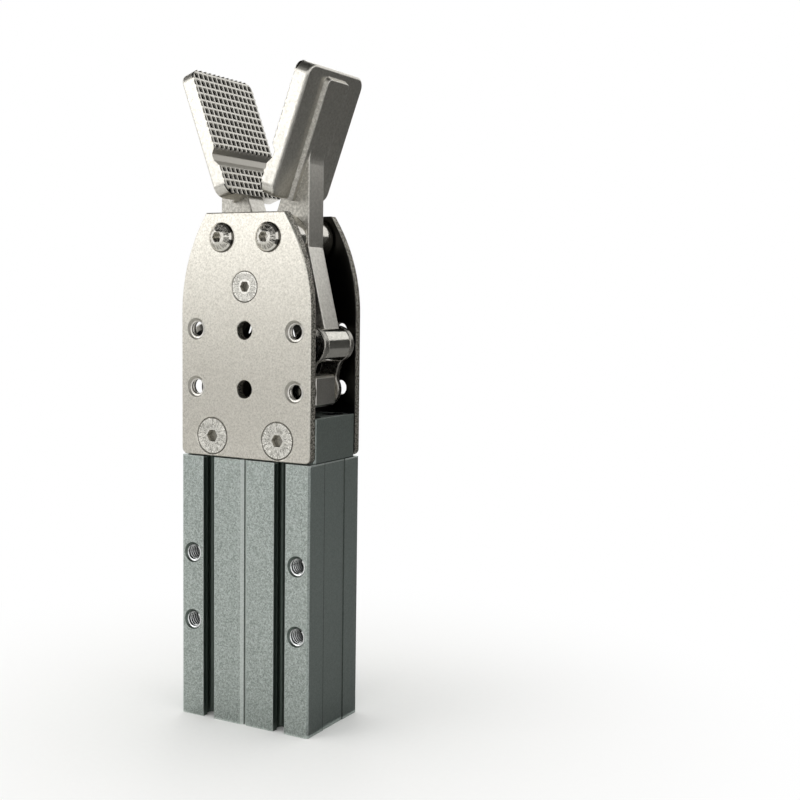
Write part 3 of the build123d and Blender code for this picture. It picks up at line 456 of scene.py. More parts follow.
@dataclass(frozen=True)
class BlastedAnodising(GrainyMetal):
    """Anodised extrusion: sparkling faces, plain sides, painted shade in slots and hole mouths."""

    plain_side: str = "#9fa9a5"
    # Painted shade in the sensor slots and the hole mouths.
    painted_recess_shade: str = "#6b756f"
    # Handling wear on the front edges, partly a painted highlight.
    worn_and_highlit: str = "#cbd3ce"
    half_depth: float = 12.0
    top_z: float = 69.55
    slot_x: float = 11.15
    slot_half: float = 2.5
    slot_depth: float = 4.3
    hole_x: float = 16.3
    hole_middle_z: float = 34.8
    hole_half_pitch: float = 9.0
    hole_mouth_radius: float = 2.72
    wear_and_highlight_mm: float = 0.45
    # Colour of the painted highlight on the groove's flanks, and of the bare rim under the head.
    flank: str = "#e6ece8"
    flank_share: float = 0.6
    # The sides' dark lines, and painted shade along the groove's bottom.
    dark_lines_and_groove_shade: str = "#2a302d"
    groove_half: float = 0.98
    groove_depth: float = 0.7
    groove_line: float = 0.2
    side_x: float = 19.5
    seam_z: float = 69.6
    seam_dark: float = 0.3
    seam_light: float = 0.4
    band_half: float = 4.8
    band_line: float = 0.2
    line_share: float = 0.75
    slot_dark_from: float = 0.05
    slot_dark_to: float = 0.5
    groove_margin: float = 0.02

    def _grain(self, tree: Tree, place: Socket) -> Socket:
        """Draws the blasted facets.

        Args:
            tree: The material's node tree.
            place: The place on the object, in metres.

        Returns:
            The socket of the facets, each with a tone of its own.
        """
        facets = add_node(
            tree, "ShaderNodeTexVoronoi", {"Scale": per_metre(self.grain_mm)}, {"Vector": place}
        )
        return facets.outputs["Color"]

    def _tint(self, tree: Tree, place: Socket, plain: Socket) -> Socket:
        """Evens the sides, brightens the edges with wear and a painted highlight, paints a
        highlight on the groove's flanks and shade along its bottom, and paints shade into the
        slots and holes.

        Args:
            tree: The material's node tree.
            place: The place on the object, in metres.
            plain: The colour of the plain grain.

        Returns:
            The socket of the finished colour.
        """
        facing = add_node(tree, "ShaderNodeTexCoord").outputs["Normal"]
        is_side = add_node(
            tree,
            "ShaderNodeMapRange",
            {"From Min": 0.5, "From Max": 0.9, "To Max": 0.8},
            {"Value": either_way(tree, facing, Axis.X)},
        ).outputs["Result"]
        # Handling wear and a painted highlight along the front faces' edges.
        front_edge_wear_and_highlight = add_node(
            tree,
            "ShaderNodeMath",
            {"operation": "SUBTRACT", "use_clamp": True},
            {0: self._edges(tree), 1: is_side},
        )
        # Painted shade: the slots, more so with depth, and the hole mouths are darkened.
        painted_shade_in_recesses = joined(tree, Join.ANY, self._slots(tree, place), self._hole_mouths(tree, place))
        on_flank, on_line = self._groove(tree, place)
        # Painted highlight: the groove's flanks are brightened.
        drawn = add_node(
            tree, "ShaderNodeMath", {"operation": "MULTIPLY", 1: self.flank_share}, {0: on_flank}
        )
        dark_line, light_line = self._side_lines(tree, place)
        # Dark lines on the sides, and painted shade along the groove's bottom.
        lines_and_groove_shade = add_node(
            tree,
            "ShaderNodeMath",
            {"operation": "MULTIPLY_ADD", 1: self.line_share},
            {0: dark_line, 2: on_line},
        )
        return layered(
            tree,
            plain,
            (self.plain_side, is_side),
            (self.worn_and_highlit, front_edge_wear_and_highlight.outputs[0]),
            (self.painted_recess_shade, painted_shade_in_recesses),
            (self.flank, drawn.outputs[0]),
            (self.flank, joined(tree, Join.ALL, light_line, is_side)),
            (self.dark_lines_and_groove_shade, lines_and_groove_shade.outputs[0]),
        )

    def _side_lines(self, tree: Tree, place: Socket) -> tuple[Socket, Socket]:
        """Draws the fine lines of the body's sides.

        Args:
            tree: The material's node tree.
            place: The place on the object, in metres.

        Returns:
            The socket of the dark lines, which are the drawn bands' edges and the joint below
            the head, and that of the bare metal rim under the joint.
        """
        height = add_node(tree, "ShaderNodeSeparateXYZ", {}, {0: place}).outputs["Z"]
        bands = within(
            tree,
            (either_way(tree, place, Axis.Y), Test.NEAR, self.band_half, self.band_line),
            (height, Test.BELOW, self.seam_z),
        )
        dark_half = self.seam_dark / 2
        light_half = self.seam_light / 2
        joint = within(tree, (height, Test.NEAR, self.seam_z + dark_half, dark_half))
        rim = within(tree, (height, Test.NEAR, self.seam_z - light_half, light_half))
        at_side = within(tree, (either_way(tree, place, Axis.X), Test.ABOVE, self.side_x))
        dark = joined(tree, Join.ANY, bands, joint)
        return joined(tree, Join.ALL, dark, at_side), rim

    def _edges(self, tree: Tree) -> Socket:
        """Finds the edges that handling has worn bright, and that carry a painted highlight.

        Args:
            tree: The material's node tree.

        Returns:
            The socket of how near a spot is to such an edge.
        """
        rounded = add_node(tree, "ShaderNodeBevel", {"samples": 4, "Radius": self.wear_and_highlight_mm * MM})
        true = add_node(tree, "ShaderNodeNewGeometry")
        alike = add_node(
            tree,
            "ShaderNodeVectorMath",
            {"operation": "DOT_PRODUCT"},
            {0: rounded.outputs["Normal"], 1: true.outputs["True Normal"]},
        )
        near = add_node(
            tree,
            "ShaderNodeMapRange",
            {"From Min": 0.995, "From Max": 0.93, "To Max": 0.75},
            {"Value": alike.outputs["Value"]},
        )
        return near.outputs["Result"]

    def _slots(self, tree: Tree, place: Socket) -> Socket:
        """Finds the sensor slots.

        Args:
            tree: The material's node tree.
            place: The place on the object, in metres.

        Returns:
            The socket of how deep a spot lies in one, from 0 to 1.
        """
        height = add_node(tree, "ShaderNodeSeparateXYZ", {}, {0: place}).outputs["Z"]
        from_middle = either_way(tree, place, Axis.Y)
        depth = add_node(
            tree,
            "ShaderNodeMapRange",
            {
                "From Min": (self.half_depth - self.slot_dark_from) * MM,
                "From Max": (self.half_depth - self.slot_dark_to) * MM,
            },
            {"Value": from_middle},
        )
        in_slot = within(
            tree,
            (either_way(tree, place, Axis.X), Test.NEAR, self.slot_x, self.slot_half),
            (from_middle, Test.ABOVE, self.half_depth - self.slot_depth),
            (height, Test.BELOW, self.top_z),
        )
        return joined(tree, Join.ALL, in_slot, depth.outputs["Result"])

    def _hole_mouths(self, tree: Tree, place: Socket) -> Socket:
        """Finds the four tapped holes and their mouths.

        Args:
            tree: The material's node tree.
            place: The place on the object, in metres.

        Returns:
            The socket that is one inside them, and zero elsewhere.
        """
        _, radius = from_axis(tree, place, self.hole_x, self.hole_half_pitch, self.hole_middle_z)
        return within(tree, (radius, Test.BELOW, self.hole_mouth_radius))

    def _groove(self, tree: Tree, place: Socket) -> tuple[Socket, Socket]:
        """Finds the marking groove.

        Args:
            tree: The material's node tree.
            place: The place on the object, in metres.

        Returns:
            The socket that is one on its flanks, and the one that is so along its bottom.
        """
        across = add_node(tree, "ShaderNodeSeparateXYZ", {}, {0: place}).outputs["X"]
        from_middle = either_way(tree, place, Axis.Y)
        half = self.groove_depth / 2
        flank = within(
            tree,
            (from_middle, Test.NEAR, self.half_depth - half, half - self.groove_margin),
            (across, Test.NEAR, 0.0, self.groove_half),
        )
        bottom = within(tree, (across, Test.NEAR, 0.0, self.groove_line))
        return flank, joined(tree, Join.ALL, flank, bottom)


@dataclass(frozen=True)
class PlatedSheet(GrainyMetal):
    """Nickel-plated sheet steel: satin faces, coarse sheared edges, painted shade on the inner
    face.
    """

    edge: str = "#5d5a54"
    cut: str = "#c9c6bd"
    # Painted shade on the inner face, between the plates.
    inner: str = "#2b2a28"
    inner_face_y: float = 9.5
    edge_roughness: float = 0.6
    hole_x: float = 15.25
    hole_middle_z: float = 95.2
    hole_half_pitch: float = 7.5
    hole_mouth_radius: float = 3.0
    speck_mm: float = 0.5
    inner_fade_from: float = 0.02
    inner_fade_to: float = 0.3

    def _off_holes(self, tree: Tree) -> Socket:
        """Finds what lies outside the tapped holes and their mouths.

        Args:
            tree: The material's node tree.

        Returns:
            The socket that is one there, and zero in the holes.
        """
        place = add_node(tree, "ShaderNodeTexCoord").outputs["Object"]
        _, radius = from_axis(tree, place, self.hole_x, self.hole_half_pitch, self.hole_middle_z)
        outside = within(tree, (radius, Test.ABOVE, self.hole_mouth_radius))
        facing = add_node(tree, "ShaderNodeTexCoord").outputs["Normal"]
        on_face = add_node(
            tree,
            "ShaderNodeMath",
            {"operation": "GREATER_THAN", 1: 0.95},
            {0: either_way(tree, facing, Axis.Y)},
        )
        return joined(tree, Join.ANY, outside, on_face.outputs[0])

    def _is_face(self, tree: Tree) -> Socket:
        """Finds the plate's faces and bevels.

        Args:
            tree: The material's node tree.

        Returns:
            The socket that is one on them, and zero on the sheared edges and in the holes.
        """
        facing = add_node(tree, "ShaderNodeTexCoord").outputs["Normal"]
        is_face = add_node(
            tree,
            "ShaderNodeMapRange",
            {"From Min": 0.2, "From Max": 0.5},
            {"Value": either_way(tree, facing, Axis.Y)},
        )
        return joined(tree, Join.ALL, is_face.outputs["Result"], self._off_holes(tree))

    def _tint(self, tree: Tree, place: Socket, plain: Socket) -> Socket:
        """Darkens the sheared edges, and paints shade on the inner face.

        Args:
            tree: The material's node tree.
            place: The place on the object, in metres.
            plain: The colour of the plain grain.

        Returns:
            The socket of the finished colour.
        """
        speck = add_node(
            tree,
            "ShaderNodeTexNoise",
            {"Scale": per_metre(self.speck_mm), "Detail": 2.0, "Roughness": 0.7},
            {"Vector": place},
        )
        speckled = add_node(
            tree,
            "ShaderNodeMapRange",
            {"From Min": 0.42, "From Max": 0.62},
            {"Value": speck.outputs["Fac"]},
        )
        sheared = add_node(
            tree,
            "ShaderNodeMix",
            {"data_type": "RGBA", 6: hex_to_linear(self.edge), 7: hex_to_linear(self.shade)},
            {0: speckled.outputs["Result"]},
        )
        outside = add_node(
            tree,
            "ShaderNodeMix",
            {"data_type": "RGBA"},
            {0: self._is_face(tree), 6: sheared.outputs[2], 7: plain},
        )
        drilled = add_node(
            tree,
            "ShaderNodeMix",
            {"data_type": "RGBA", 6: hex_to_linear(self.cut)},
            {0: self._off_holes(tree), 7: outside.outputs[2]},
        )
        # Painted shade: the inner face, facing the other plate, is darkened.
        is_outside = add_node(
            tree,
            "ShaderNodeMapRange",
            {
                "From Min": (self.inner_face_y + self.inner_fade_from) * MM,
                "From Max": (self.inner_face_y + self.inner_fade_to) * MM,
            },
            {"Value": either_way(tree, place, Axis.Y)},
        )
        finished = add_node(
            tree,
            "ShaderNodeMix",
            {"data_type": "RGBA", 6: hex_to_linear(self.inner)},
            {0: is_outside.outputs["Result"], 7: drilled.outputs[2]},
        )
        return finished.outputs[2]

    def _gloss(self, tree: Tree, place: Socket, plain: Socket) -> Socket:
        """Dulls the sheared edges.

        Args:
            tree: The material's node tree.
            place: The place on the object, in metres.
            plain: The roughness of the plain grain.

        Returns:
            The socket of the finished roughness.
        """
        finished = add_node(
            tree,
            "ShaderNodeMix",
            {"data_type": "FLOAT", 2: self.edge_roughness},
            {0: self._is_face(tree), 3: plain},
        )
        return finished.outputs[0]


@dataclass(frozen=True)
class PlatedCasting(GrainyMetal):
    """A nickel-plated cast lever, with painted shade in its pad's pits and a machined hub and
    boss.
    """

    side: int = 1
    # Painted shade in the pits between the pad's teeth.
    pit: str = "#1d1c1a"
    # Cast skin colour; on the flanks and in the groove it is partly painted shade.
    skin: str = "#b0ada5"
    skin_half_y: float = 5.3
    skin_mm: float = 0.7
    skin_roughness: float = 0.5
    machined_roughness: float = 0.12
    pivot_x: float = 7.15
    pivot_z: float = 126.1
    hub_radius: float = 6.2
    boss_x: float = 16.4
    boss_z: float = 99.3
    boss_radius: float = 4.75
    open_angle: float = 20.4
    face_offset: float = 6.42
    pit_depth: float = 0.6
    pad_foot: float = 9.55
    pad_half_width: float = 12.75
    groove_middle: float = 19.35
    groove_half: float = 2.75
    groove_reach: float = 2.5
    pit_dark_from: float = 0.02
    pit_dark_to: float = 0.4
    pit_margin: float = 1.02

    def _along(self, tree: Tree, place: Socket, towards: Vector, start: float) -> Socket:
        """Returns the distance from the pivot along a direction of the open lever.

        Args:
            tree: The material's node tree.
            place: The place on the object, in metres.
            towards: The direction.
            start: A distance in millimetres that is taken off.

        Returns:
            The socket of the distance, in metres.
        """
        pivot = Vector((self.side * self.pivot_x, 0.0, self.pivot_z)) * MM
        reach = add_node(
            tree, "ShaderNodeVectorMath", {"operation": "DOT_PRODUCT", 1: towards}, {0: place}
        )
        from_start = add_node(
            tree,
            "ShaderNodeMath",
            {"operation": "SUBTRACT", 1: towards.dot(pivot) + start * MM},
            {0: reach.outputs["Value"]},
        )
        return from_start.outputs[0]

    def _pad_marks(self, tree: Tree, place: Socket) -> tuple[Socket, Socket]:
        """Finds the pits and the cross groove of the pad.

        Args:
            tree: The material's node tree.
            place: The place on the object, in metres.

        Returns:
            The socket that is one deep in a pit, and the one that is so in the groove.
        """
        angle = math.radians(self.open_angle)
        inwards = Vector((-self.side * math.cos(angle), 0.0, math.sin(angle)))
        upwards = Vector((self.side * math.sin(angle), 0.0, math.cos(angle)))
        from_face = self._along(tree, place, inwards, self.face_offset)
        from_foot = self._along(tree, place, upwards, self.pad_foot)
        from_groove = self._along(tree, place, upwards, self.groove_middle)
        across = add_node(tree, "ShaderNodeSeparateXYZ", {}, {0: place}).outputs["Y"]
        depth = add_node(
            tree,
            "ShaderNodeMapRange",
            {"From Min": -self.pit_dark_from * MM, "From Max": -self.pit_dark_to * MM},
            {"Value": from_face},
        )
        before_floor = within(
            tree,
            (from_face, Test.ABOVE, -self.pit_margin * self.pit_depth),
            (from_foot, Test.ABOVE, 0.0),
        )
        before_back = within(tree, (from_face, Test.ABOVE, -self.groove_reach))
        in_groove = within(tree, (from_groove, Test.NEAR, 0.0, self.groove_half))
        off_groove = add_node(
            tree, "ShaderNodeMath", {"operation": "SUBTRACT", 0: 1.0}, {1: in_groove}
        )
        off_side = within(tree, (across, Test.NEAR, 0.0, self.pad_half_width))
        sunk = joined(tree, Join.ALL, depth.outputs["Result"], off_side)
        return (
            joined(tree, Join.ALL, sunk, before_floor, off_groove.outputs[0]),
            joined(tree, Join.ALL, sunk, before_back, in_groove),
        )

    def _tint(self, tree: Tree, place: Socket, plain: Socket) -> Socket:
        """Paints shade into the pad's pits, and darkens its cross groove and the cast flanks: cast
        skin, partly painted shade.

        Args:
            tree: The material's node tree.
            place: The place on the object, in metres.
            plain: The colour of the plain grain.

        Returns:
            The socket of the finished colour.
        """
        # Painted shade deep in the pits; the groove and the flanks take the skin colour.
        in_pit, in_groove = self._pad_marks(tree, place)
        speck = add_node(
            tree,
            "ShaderNodeTexNoise",
            {"Scale": per_metre(self.skin_mm), "Detail": 2.0, "Roughness": 0.7},
            {"Vector": place},
        )
        speckled = add_node(
            tree,
            "ShaderNodeMapRange",
            {"From Min": 0.36, "From Max": 0.6, "To Min": 1.0, "To Max": 0.25},
            {"Value": speck.outputs["Fac"]},
        )
        skin = joined(tree, Join.ALL, self._is_skin(tree, place), speckled.outputs["Result"])
        # Cast skin, darker on the flanks and in the groove: partly painted shade.
        cast_skin_and_painted_shade = joined(tree, Join.ANY, skin, in_groove)
        return layered(tree, plain, (self.skin, cast_skin_and_painted_shade), (self.pit, in_pit))

    def _is_skin(self, tree: Tree, place: Socket) -> Socket:
        """Finds the flanks of the rib, the web and the arm, which are left as cast.

        Args:
            tree: The material's node tree.
            place: The place on the object, in metres.

        Returns:
            The socket that is one on them.
        """
        facing = add_node(tree, "ShaderNodeTexCoord").outputs["Normal"]
        flank = add_node(
            tree,
            "ShaderNodeMapRange",
            {"From Min": 0.5, "From Max": 0.8},
            {"Value": either_way(tree, facing, Axis.Y)},
        )
        across = add_node(tree, "ShaderNodeSeparateXYZ", {}, {0: place}).outputs["Y"]
        near_middle = within(tree, (across, Test.NEAR, 0.0, self.skin_half_y))
        return joined(tree, Join.ALL, flank.outputs["Result"], near_middle)

    def _gloss(self, tree: Tree, place: Socket, plain: Socket) -> Socket:
        """Smooths the turned outsides of the hub and the link boss, and dulls the cast skin.

        Args:
            tree: The material's node tree.
            place: The place on the object, in metres.
            plain: The roughness of the plain grain.

        Returns:
            The socket of the finished roughness.
        """
        _, from_pivot = from_axis(tree, place, self.pivot_x, self.pivot_z)
        _, from_pin = from_axis(tree, place, self.boss_x, self.boss_z)
        on_hub = within(tree, (from_pivot, Test.BELOW, self.hub_radius))
        on_boss = within(tree, (from_pin, Test.BELOW, self.boss_radius))
        cast = add_node(
            tree,
            "ShaderNodeMix",
            {"data_type": "FLOAT", 3: self.skin_roughness},
            {0: self._is_skin(tree, place), 2: plain},
        )
        finished = add_node(
            tree,
            "ShaderNodeMix",
            {"data_type": "FLOAT", 3: self.machined_roughness},
            {0: joined(tree, Join.ANY, on_hub, on_boss), 2: cast.outputs[0]},
        )
        return finished.outputs[0]


@dataclass(frozen=True)
class ForgedHead(GrainyMetal):
    """A cold-forged screw head, with the die's radial flow lines round its socket, and painted
    shade at its rim and in its socket.
    """

    centre_x: float = 0.0
    centre_z: float = 0.0
    lines_from: float = 2.2
    lines_to: float = 4.6
    line_count: float = 9.0
    socket_radius: float = 1.75
    face_y: float = 11.9
    # Painted shade deep in the socket.
    socket: str = "#a09d95"
    # Colour of the flow lines, and of the painted shade at the rim.
    flow_line_and_rim_shade: str = "#87847c"
    line_strength: float = 0.6
    rim_radius: float = 4.75
    rim_width: float = 0.25
    streak_mm: float = 1.6
    socket_dark_from: float = 0.05
    socket_dark_to: float = 1.2
    line_sink: float = 5.0

    def _from_centre(self, tree: Tree, place: Socket) -> tuple[Socket, Socket, Socket]:
        """Measures from the screw's axis.

        Args:
            tree: The material's node tree.
            place: The place on the object, in metres.

        Returns:
            The sockets of the radius, of the turn about the axis and of the depth.
        """
        offset, radius = from_axis(tree, place, self.centre_x, self.centre_z)
        spot = add_node(tree, "ShaderNodeSeparateXYZ", {}, {0: offset})
        turn = add_node(
            tree,
            "ShaderNodeMath",
            {"operation": "ARCTAN2"},
            {0: spot.outputs["Z"], 1: spot.outputs["X"]},
        )
        return radius, turn.outputs[0], spot.outputs["Y"]

    def _lines(self, tree: Tree, place: Socket) -> Socket:
        """Draws the flow lines.

        Args:
            tree: The material's node tree.
            place: The place on the object, in metres.

        Returns:
            The socket of the lines, from 0 to 1, and zero off their band.
        """
        radius, turn, _ = self._from_centre(tree, place)
        scaled = add_node(
            tree,
            "ShaderNodeMath",
            {"operation": "MULTIPLY", 1: per_metre(self.streak_mm)},
            {0: radius},
        )
        around = add_node(
            tree, "ShaderNodeMath", {"operation": "MULTIPLY", 1: self.line_count}, {0: turn}
        )
        unrolled = add_node(
            tree, "ShaderNodeCombineXYZ", {}, {"X": around.outputs[0], "Y": scaled.outputs[0]}
        )
        streak = add_node(
            tree,
            "ShaderNodeTexNoise",
            {"Scale": 1.0, "Detail": 2.0, "Roughness": 0.6},
            {"Vector": unrolled.outputs["Vector"]},
        )
        sharp = add_node(
            tree,
            "ShaderNodeMapRange",
            {"From Min": 0.42, "From Max": 0.6},
            {"Value": streak.outputs["Fac"]},
        )
        middle = (self.lines_from + self.lines_to) / 2
        band = within(tree, (radius, Test.NEAR, middle, (self.lines_to - self.lines_from) / 2))
        return joined(tree, Join.ALL, sharp.outputs["Result"], band)

    def _tint(self, tree: Tree, place: Socket, plain: Socket) -> Socket:
        """Colours the flow lines, and paints shade at the rim and in the socket.

        Args:
            tree: The material's node tree.
            place: The place on the object, in metres.
            plain: The colour of the plain grain.

        Returns:
            The socket of the finished colour.
        """
        lines = add_node(
            tree,
            "ShaderNodeMath",
            {"operation": "MULTIPLY", 1: self.line_strength},
            {0: self._lines(tree, place)},
        )
        radius, _, depth = self._from_centre(tree, place)
        near = within(tree, (radius, Test.BELOW, self.socket_radius))
        sunk = add_node(
            tree,
            "ShaderNodeMapRange",
            {
                "From Min": (self.face_y - self.socket_dark_from) * MM,
                "From Max": (self.face_y - self.socket_dark_to) * MM,
            },
            {"Value": depth},
        )
        return layered(
            tree,
            plain,
            (self.flow_line_and_rim_shade, lines.outputs[0]),
            # Painted shade: a dark ring at the rim, where the head meets its seat.
            (self.flow_line_and_rim_shade, within(tree, (radius, Test.ABOVE, self.rim_radius - self.rim_width))),
            # Painted shade: the socket darkens with its depth.
            (self.socket, joined(tree, Join.ALL, near, sunk.outputs["Result"])),
        )

    def _relief(self, tree: Tree, place: Socket, plain: Socket) -> Socket:
        """Sinks the flow lines into the head.

        Args:
            tree: The material's node tree.
            place: The place on the object, in metres.
            plain: The height of the plain grain, from 0 to 1.

        Returns:
            The socket of the finished height.
        """
        finished = add_node(
            tree,
            "ShaderNodeMath",
            {"operation": "MULTIPLY_ADD", 1: -self.line_sink},
            {0: self._lines(tree, place), 2: plain},
        )
        return finished.outputs[0]


@dataclass(frozen=True)
class CutThread(GrainyMetal):
    """A tapped thread: bright crests, and painted shade in the roots and down the hole."""

    # Painted shade in the thread's roots and deep in the hole.
    oil: str = "#121514"
    hole_x: float = 16.3
    hole_middle_z: float = 34.8
    hole_half_pitch: float = 9.0
    crest_radius: float = 1.89
    root_radius: float = 2.02
    face_y: float = 12.0
    mouth_depth: float = 0.65
    bright_depth: float = 1.0
    dark_depth: float = 5.5

    def _tint(self, tree: Tree, place: Socket, plain: Socket) -> Socket:
        """Paints shade into the roots, and over the whole thread deeper in the hole.

        Args:
            tree: The material's node tree.
            place: The place on the object, in metres.
            plain: The colour of the plain grain.

        Returns:
            The socket of the finished colour.
        """
        _, radius = from_axis(tree, place, self.hole_x, self.hole_half_pitch, self.hole_middle_z)
        from_middle = either_way(tree, place, Axis.Y)
        in_root = add_node(
            tree,
            "ShaderNodeMapRange",
            {"From Min": self.crest_radius * MM, "From Max": self.root_radius * MM},
            {"Value": radius},
        )
        deep = add_node(
            tree,
            "ShaderNodeMapRange",
            {
                "From Min": (self.face_y - self.bright_depth) * MM,
                "From Max": (self.face_y - self.dark_depth) * MM,
            },
            {"Value": from_middle},
        )
        below_mouth = within(tree, (from_middle, Test.BELOW, self.face_y - self.mouth_depth))
        root = joined(tree, Join.ALL, in_root.outputs["Result"], below_mouth)
        dark = joined(tree, Join.ANY, root, deep.outputs["Result"])
        return layered(tree, plain, (self.oil, dark))


@dataclass(frozen=True)
class TurnedMetal:
    """A round metal piece with fine tool rings about its axis."""

    name: str
    colour: str
    shade: str
    roughness: float
    ring_mm: float
    ring_height_mm: float
    axis: Axis
    ring_stretch: float = 0.06
    roughness_spread: float = 0.06

    def build(self) -> bpy.types.Material:
        """Makes the material.

        Returns:
            The material.
        """
        material, tree, output = new_material(self.name)
        place = add_node(tree, "ShaderNodeTexCoord").outputs["Object"]
        stretch = tuple(1.0 if part else self.ring_stretch for part in self.axis.value)
        along = add_node(
            tree, "ShaderNodeVectorMath", {"operation": "MULTIPLY", 1: stretch}, {0: place}
        )
        rings = add_node(
            tree,
            "ShaderNodeTexNoise",
            {"Scale": per_metre(self.ring_mm), "Detail": 2.0, "Roughness": 0.5},
            {"Vector": along.outputs["Vector"]},
        )
        colour = add_node(
            tree,
            "ShaderNodeMix",
            {"data_type": "RGBA", 6: hex_to_linear(self.shade), 7: hex_to_linear(self.colour)},
            {0: rings.outputs["Fac"]},
        )
        rough = add_node(
            tree,
            "ShaderNodeMapRange",
            {
                "To Min": self.roughness + self.roughness_spread,
                "To Max": self.roughness - self.roughness_spread,
            },
            {"Value": rings.outputs["Fac"]},
        )
        bump = add_node(
            tree,
            "ShaderNodeBump",
            {"Strength": 1.0, "Distance": self.ring_height_mm * MM},
            {"Height": rings.outputs["Fac"]},
        )
        shader = add_node(
            tree,
            "ShaderNodeBsdfPrincipled",
            {"Metallic": 1.0},
            {
                "Base Color": colour.outputs[2],
                "Roughness": rough.outputs["Result"],
                "Normal": bump.outputs["Normal"],
            },
        )
        tree.links.new(shader.outputs["BSDF"], output.inputs["Surface"])
        return material


@dataclass(frozen=True)
class Moulded:
    """A moulded rubber or plastic piece with a faint texture from its mould."""

    name: str
    colour: str
    shade: str
    roughness: float
    grain_mm: float
    grain_height_mm: float
    ior: float = 1.5

    def build(self) -> bpy.types.Material:
        """Makes the material.

        Returns:
            The material.
        """
        material, tree, output = new_material(self.name)
        place = add_node(tree, "ShaderNodeTexCoord").outputs["Object"]
        grain = add_node(
            tree,
            "ShaderNodeTexNoise",
            {"Scale": per_metre(self.grain_mm), "Detail": 3.0, "Roughness": 0.6},
            {"Vector": place},
        )
        colour = add_node(
            tree,
            "ShaderNodeMix",
            {"data_type": "RGBA", 6: hex_to_linear(self.shade), 7: hex_to_linear(self.colour)},
            {0: grain.outputs["Fac"]},
        )
        bump = add_node(
            tree,
            "ShaderNodeBump",
            {"Strength": 1.0, "Distance": self.grain_height_mm * MM},
            {"Height": grain.outputs["Fac"]},
        )
        shader = add_node(
            tree,
            "ShaderNodeBsdfPrincipled",
            {"Roughness": self.roughness, "IOR": self.ior},
            {"Base Color": colour.outputs[2], "Normal": bump.outputs["Normal"]},
        )
        tree.links.new(shader.outputs["BSDF"], output.inputs["Surface"])
        return material


@dataclass
class ThreadRidge:
    """The helical ridge of a tapped hole, standing on the hole's wall."""

    name: str
    mouth: tuple[float, float, float]
    inward: Vector
    length: float
    mouth_radius: float = 2.7
    wall_radius: float = 2.1
    pitch: float = 0.8
    height: float = 0.3
    root_sink: float = 0.02
    foot_share: float = 0.3
    crest_half: float = 0.06
    steps_a_turn: int = 28

    def _wall(self, level: float) -> float:
        """Returns the wall's radius at a depth below the face, which the mouth widens."""
        return max(self.wall_radius, self.mouth_radius - level)

    def build(self, material: bpy.types.Material, body: str, slot: str) -> bpy.types.Object:
        """Builds the ridge as one closed mesh.

        Args:
            material: The thread's finish.
            body: The CAD body that it rides on.
            slot: The record's material slot; not used.

        Returns:
            The new object.
        """
        inward = self.inward.normalized()
        across = inward.orthogonal().normalized()
        other = inward.cross(across)
        half = self.foot_share * self.pitch
        count = int(self.steps_a_turn * (self.length - 2 * half) / self.pitch)
        rings = []
        for step in range(count + 1):
            turn = 2 * math.pi * step / self.steps_a_turn
            level = half + self.pitch * step / self.steps_a_turn
            outward = across * math.cos(turn) + other * math.sin(turn)
            ends = min(1.0, step / self.steps_a_turn, (count - step) / self.steps_a_turn)
            crest = self.wall_radius - self.height * ends
            ring = []
            for is_root, shift in (
                (True, -half),
                (False, -self.crest_half),
                (False, self.crest_half),
                (True, half),
            ):
                radius = self._wall(level + shift) + self.root_sink if is_root else crest
                spot = Vector(self.mouth) + inward * (level + shift) + outward * radius
                ring.append(spot * MM)
            rings.append(ring)
        ridge = skin_rings(self.name, rings, material)
        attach(ridge, body)
        LOG.info("built %s", self.name)
        return ridge


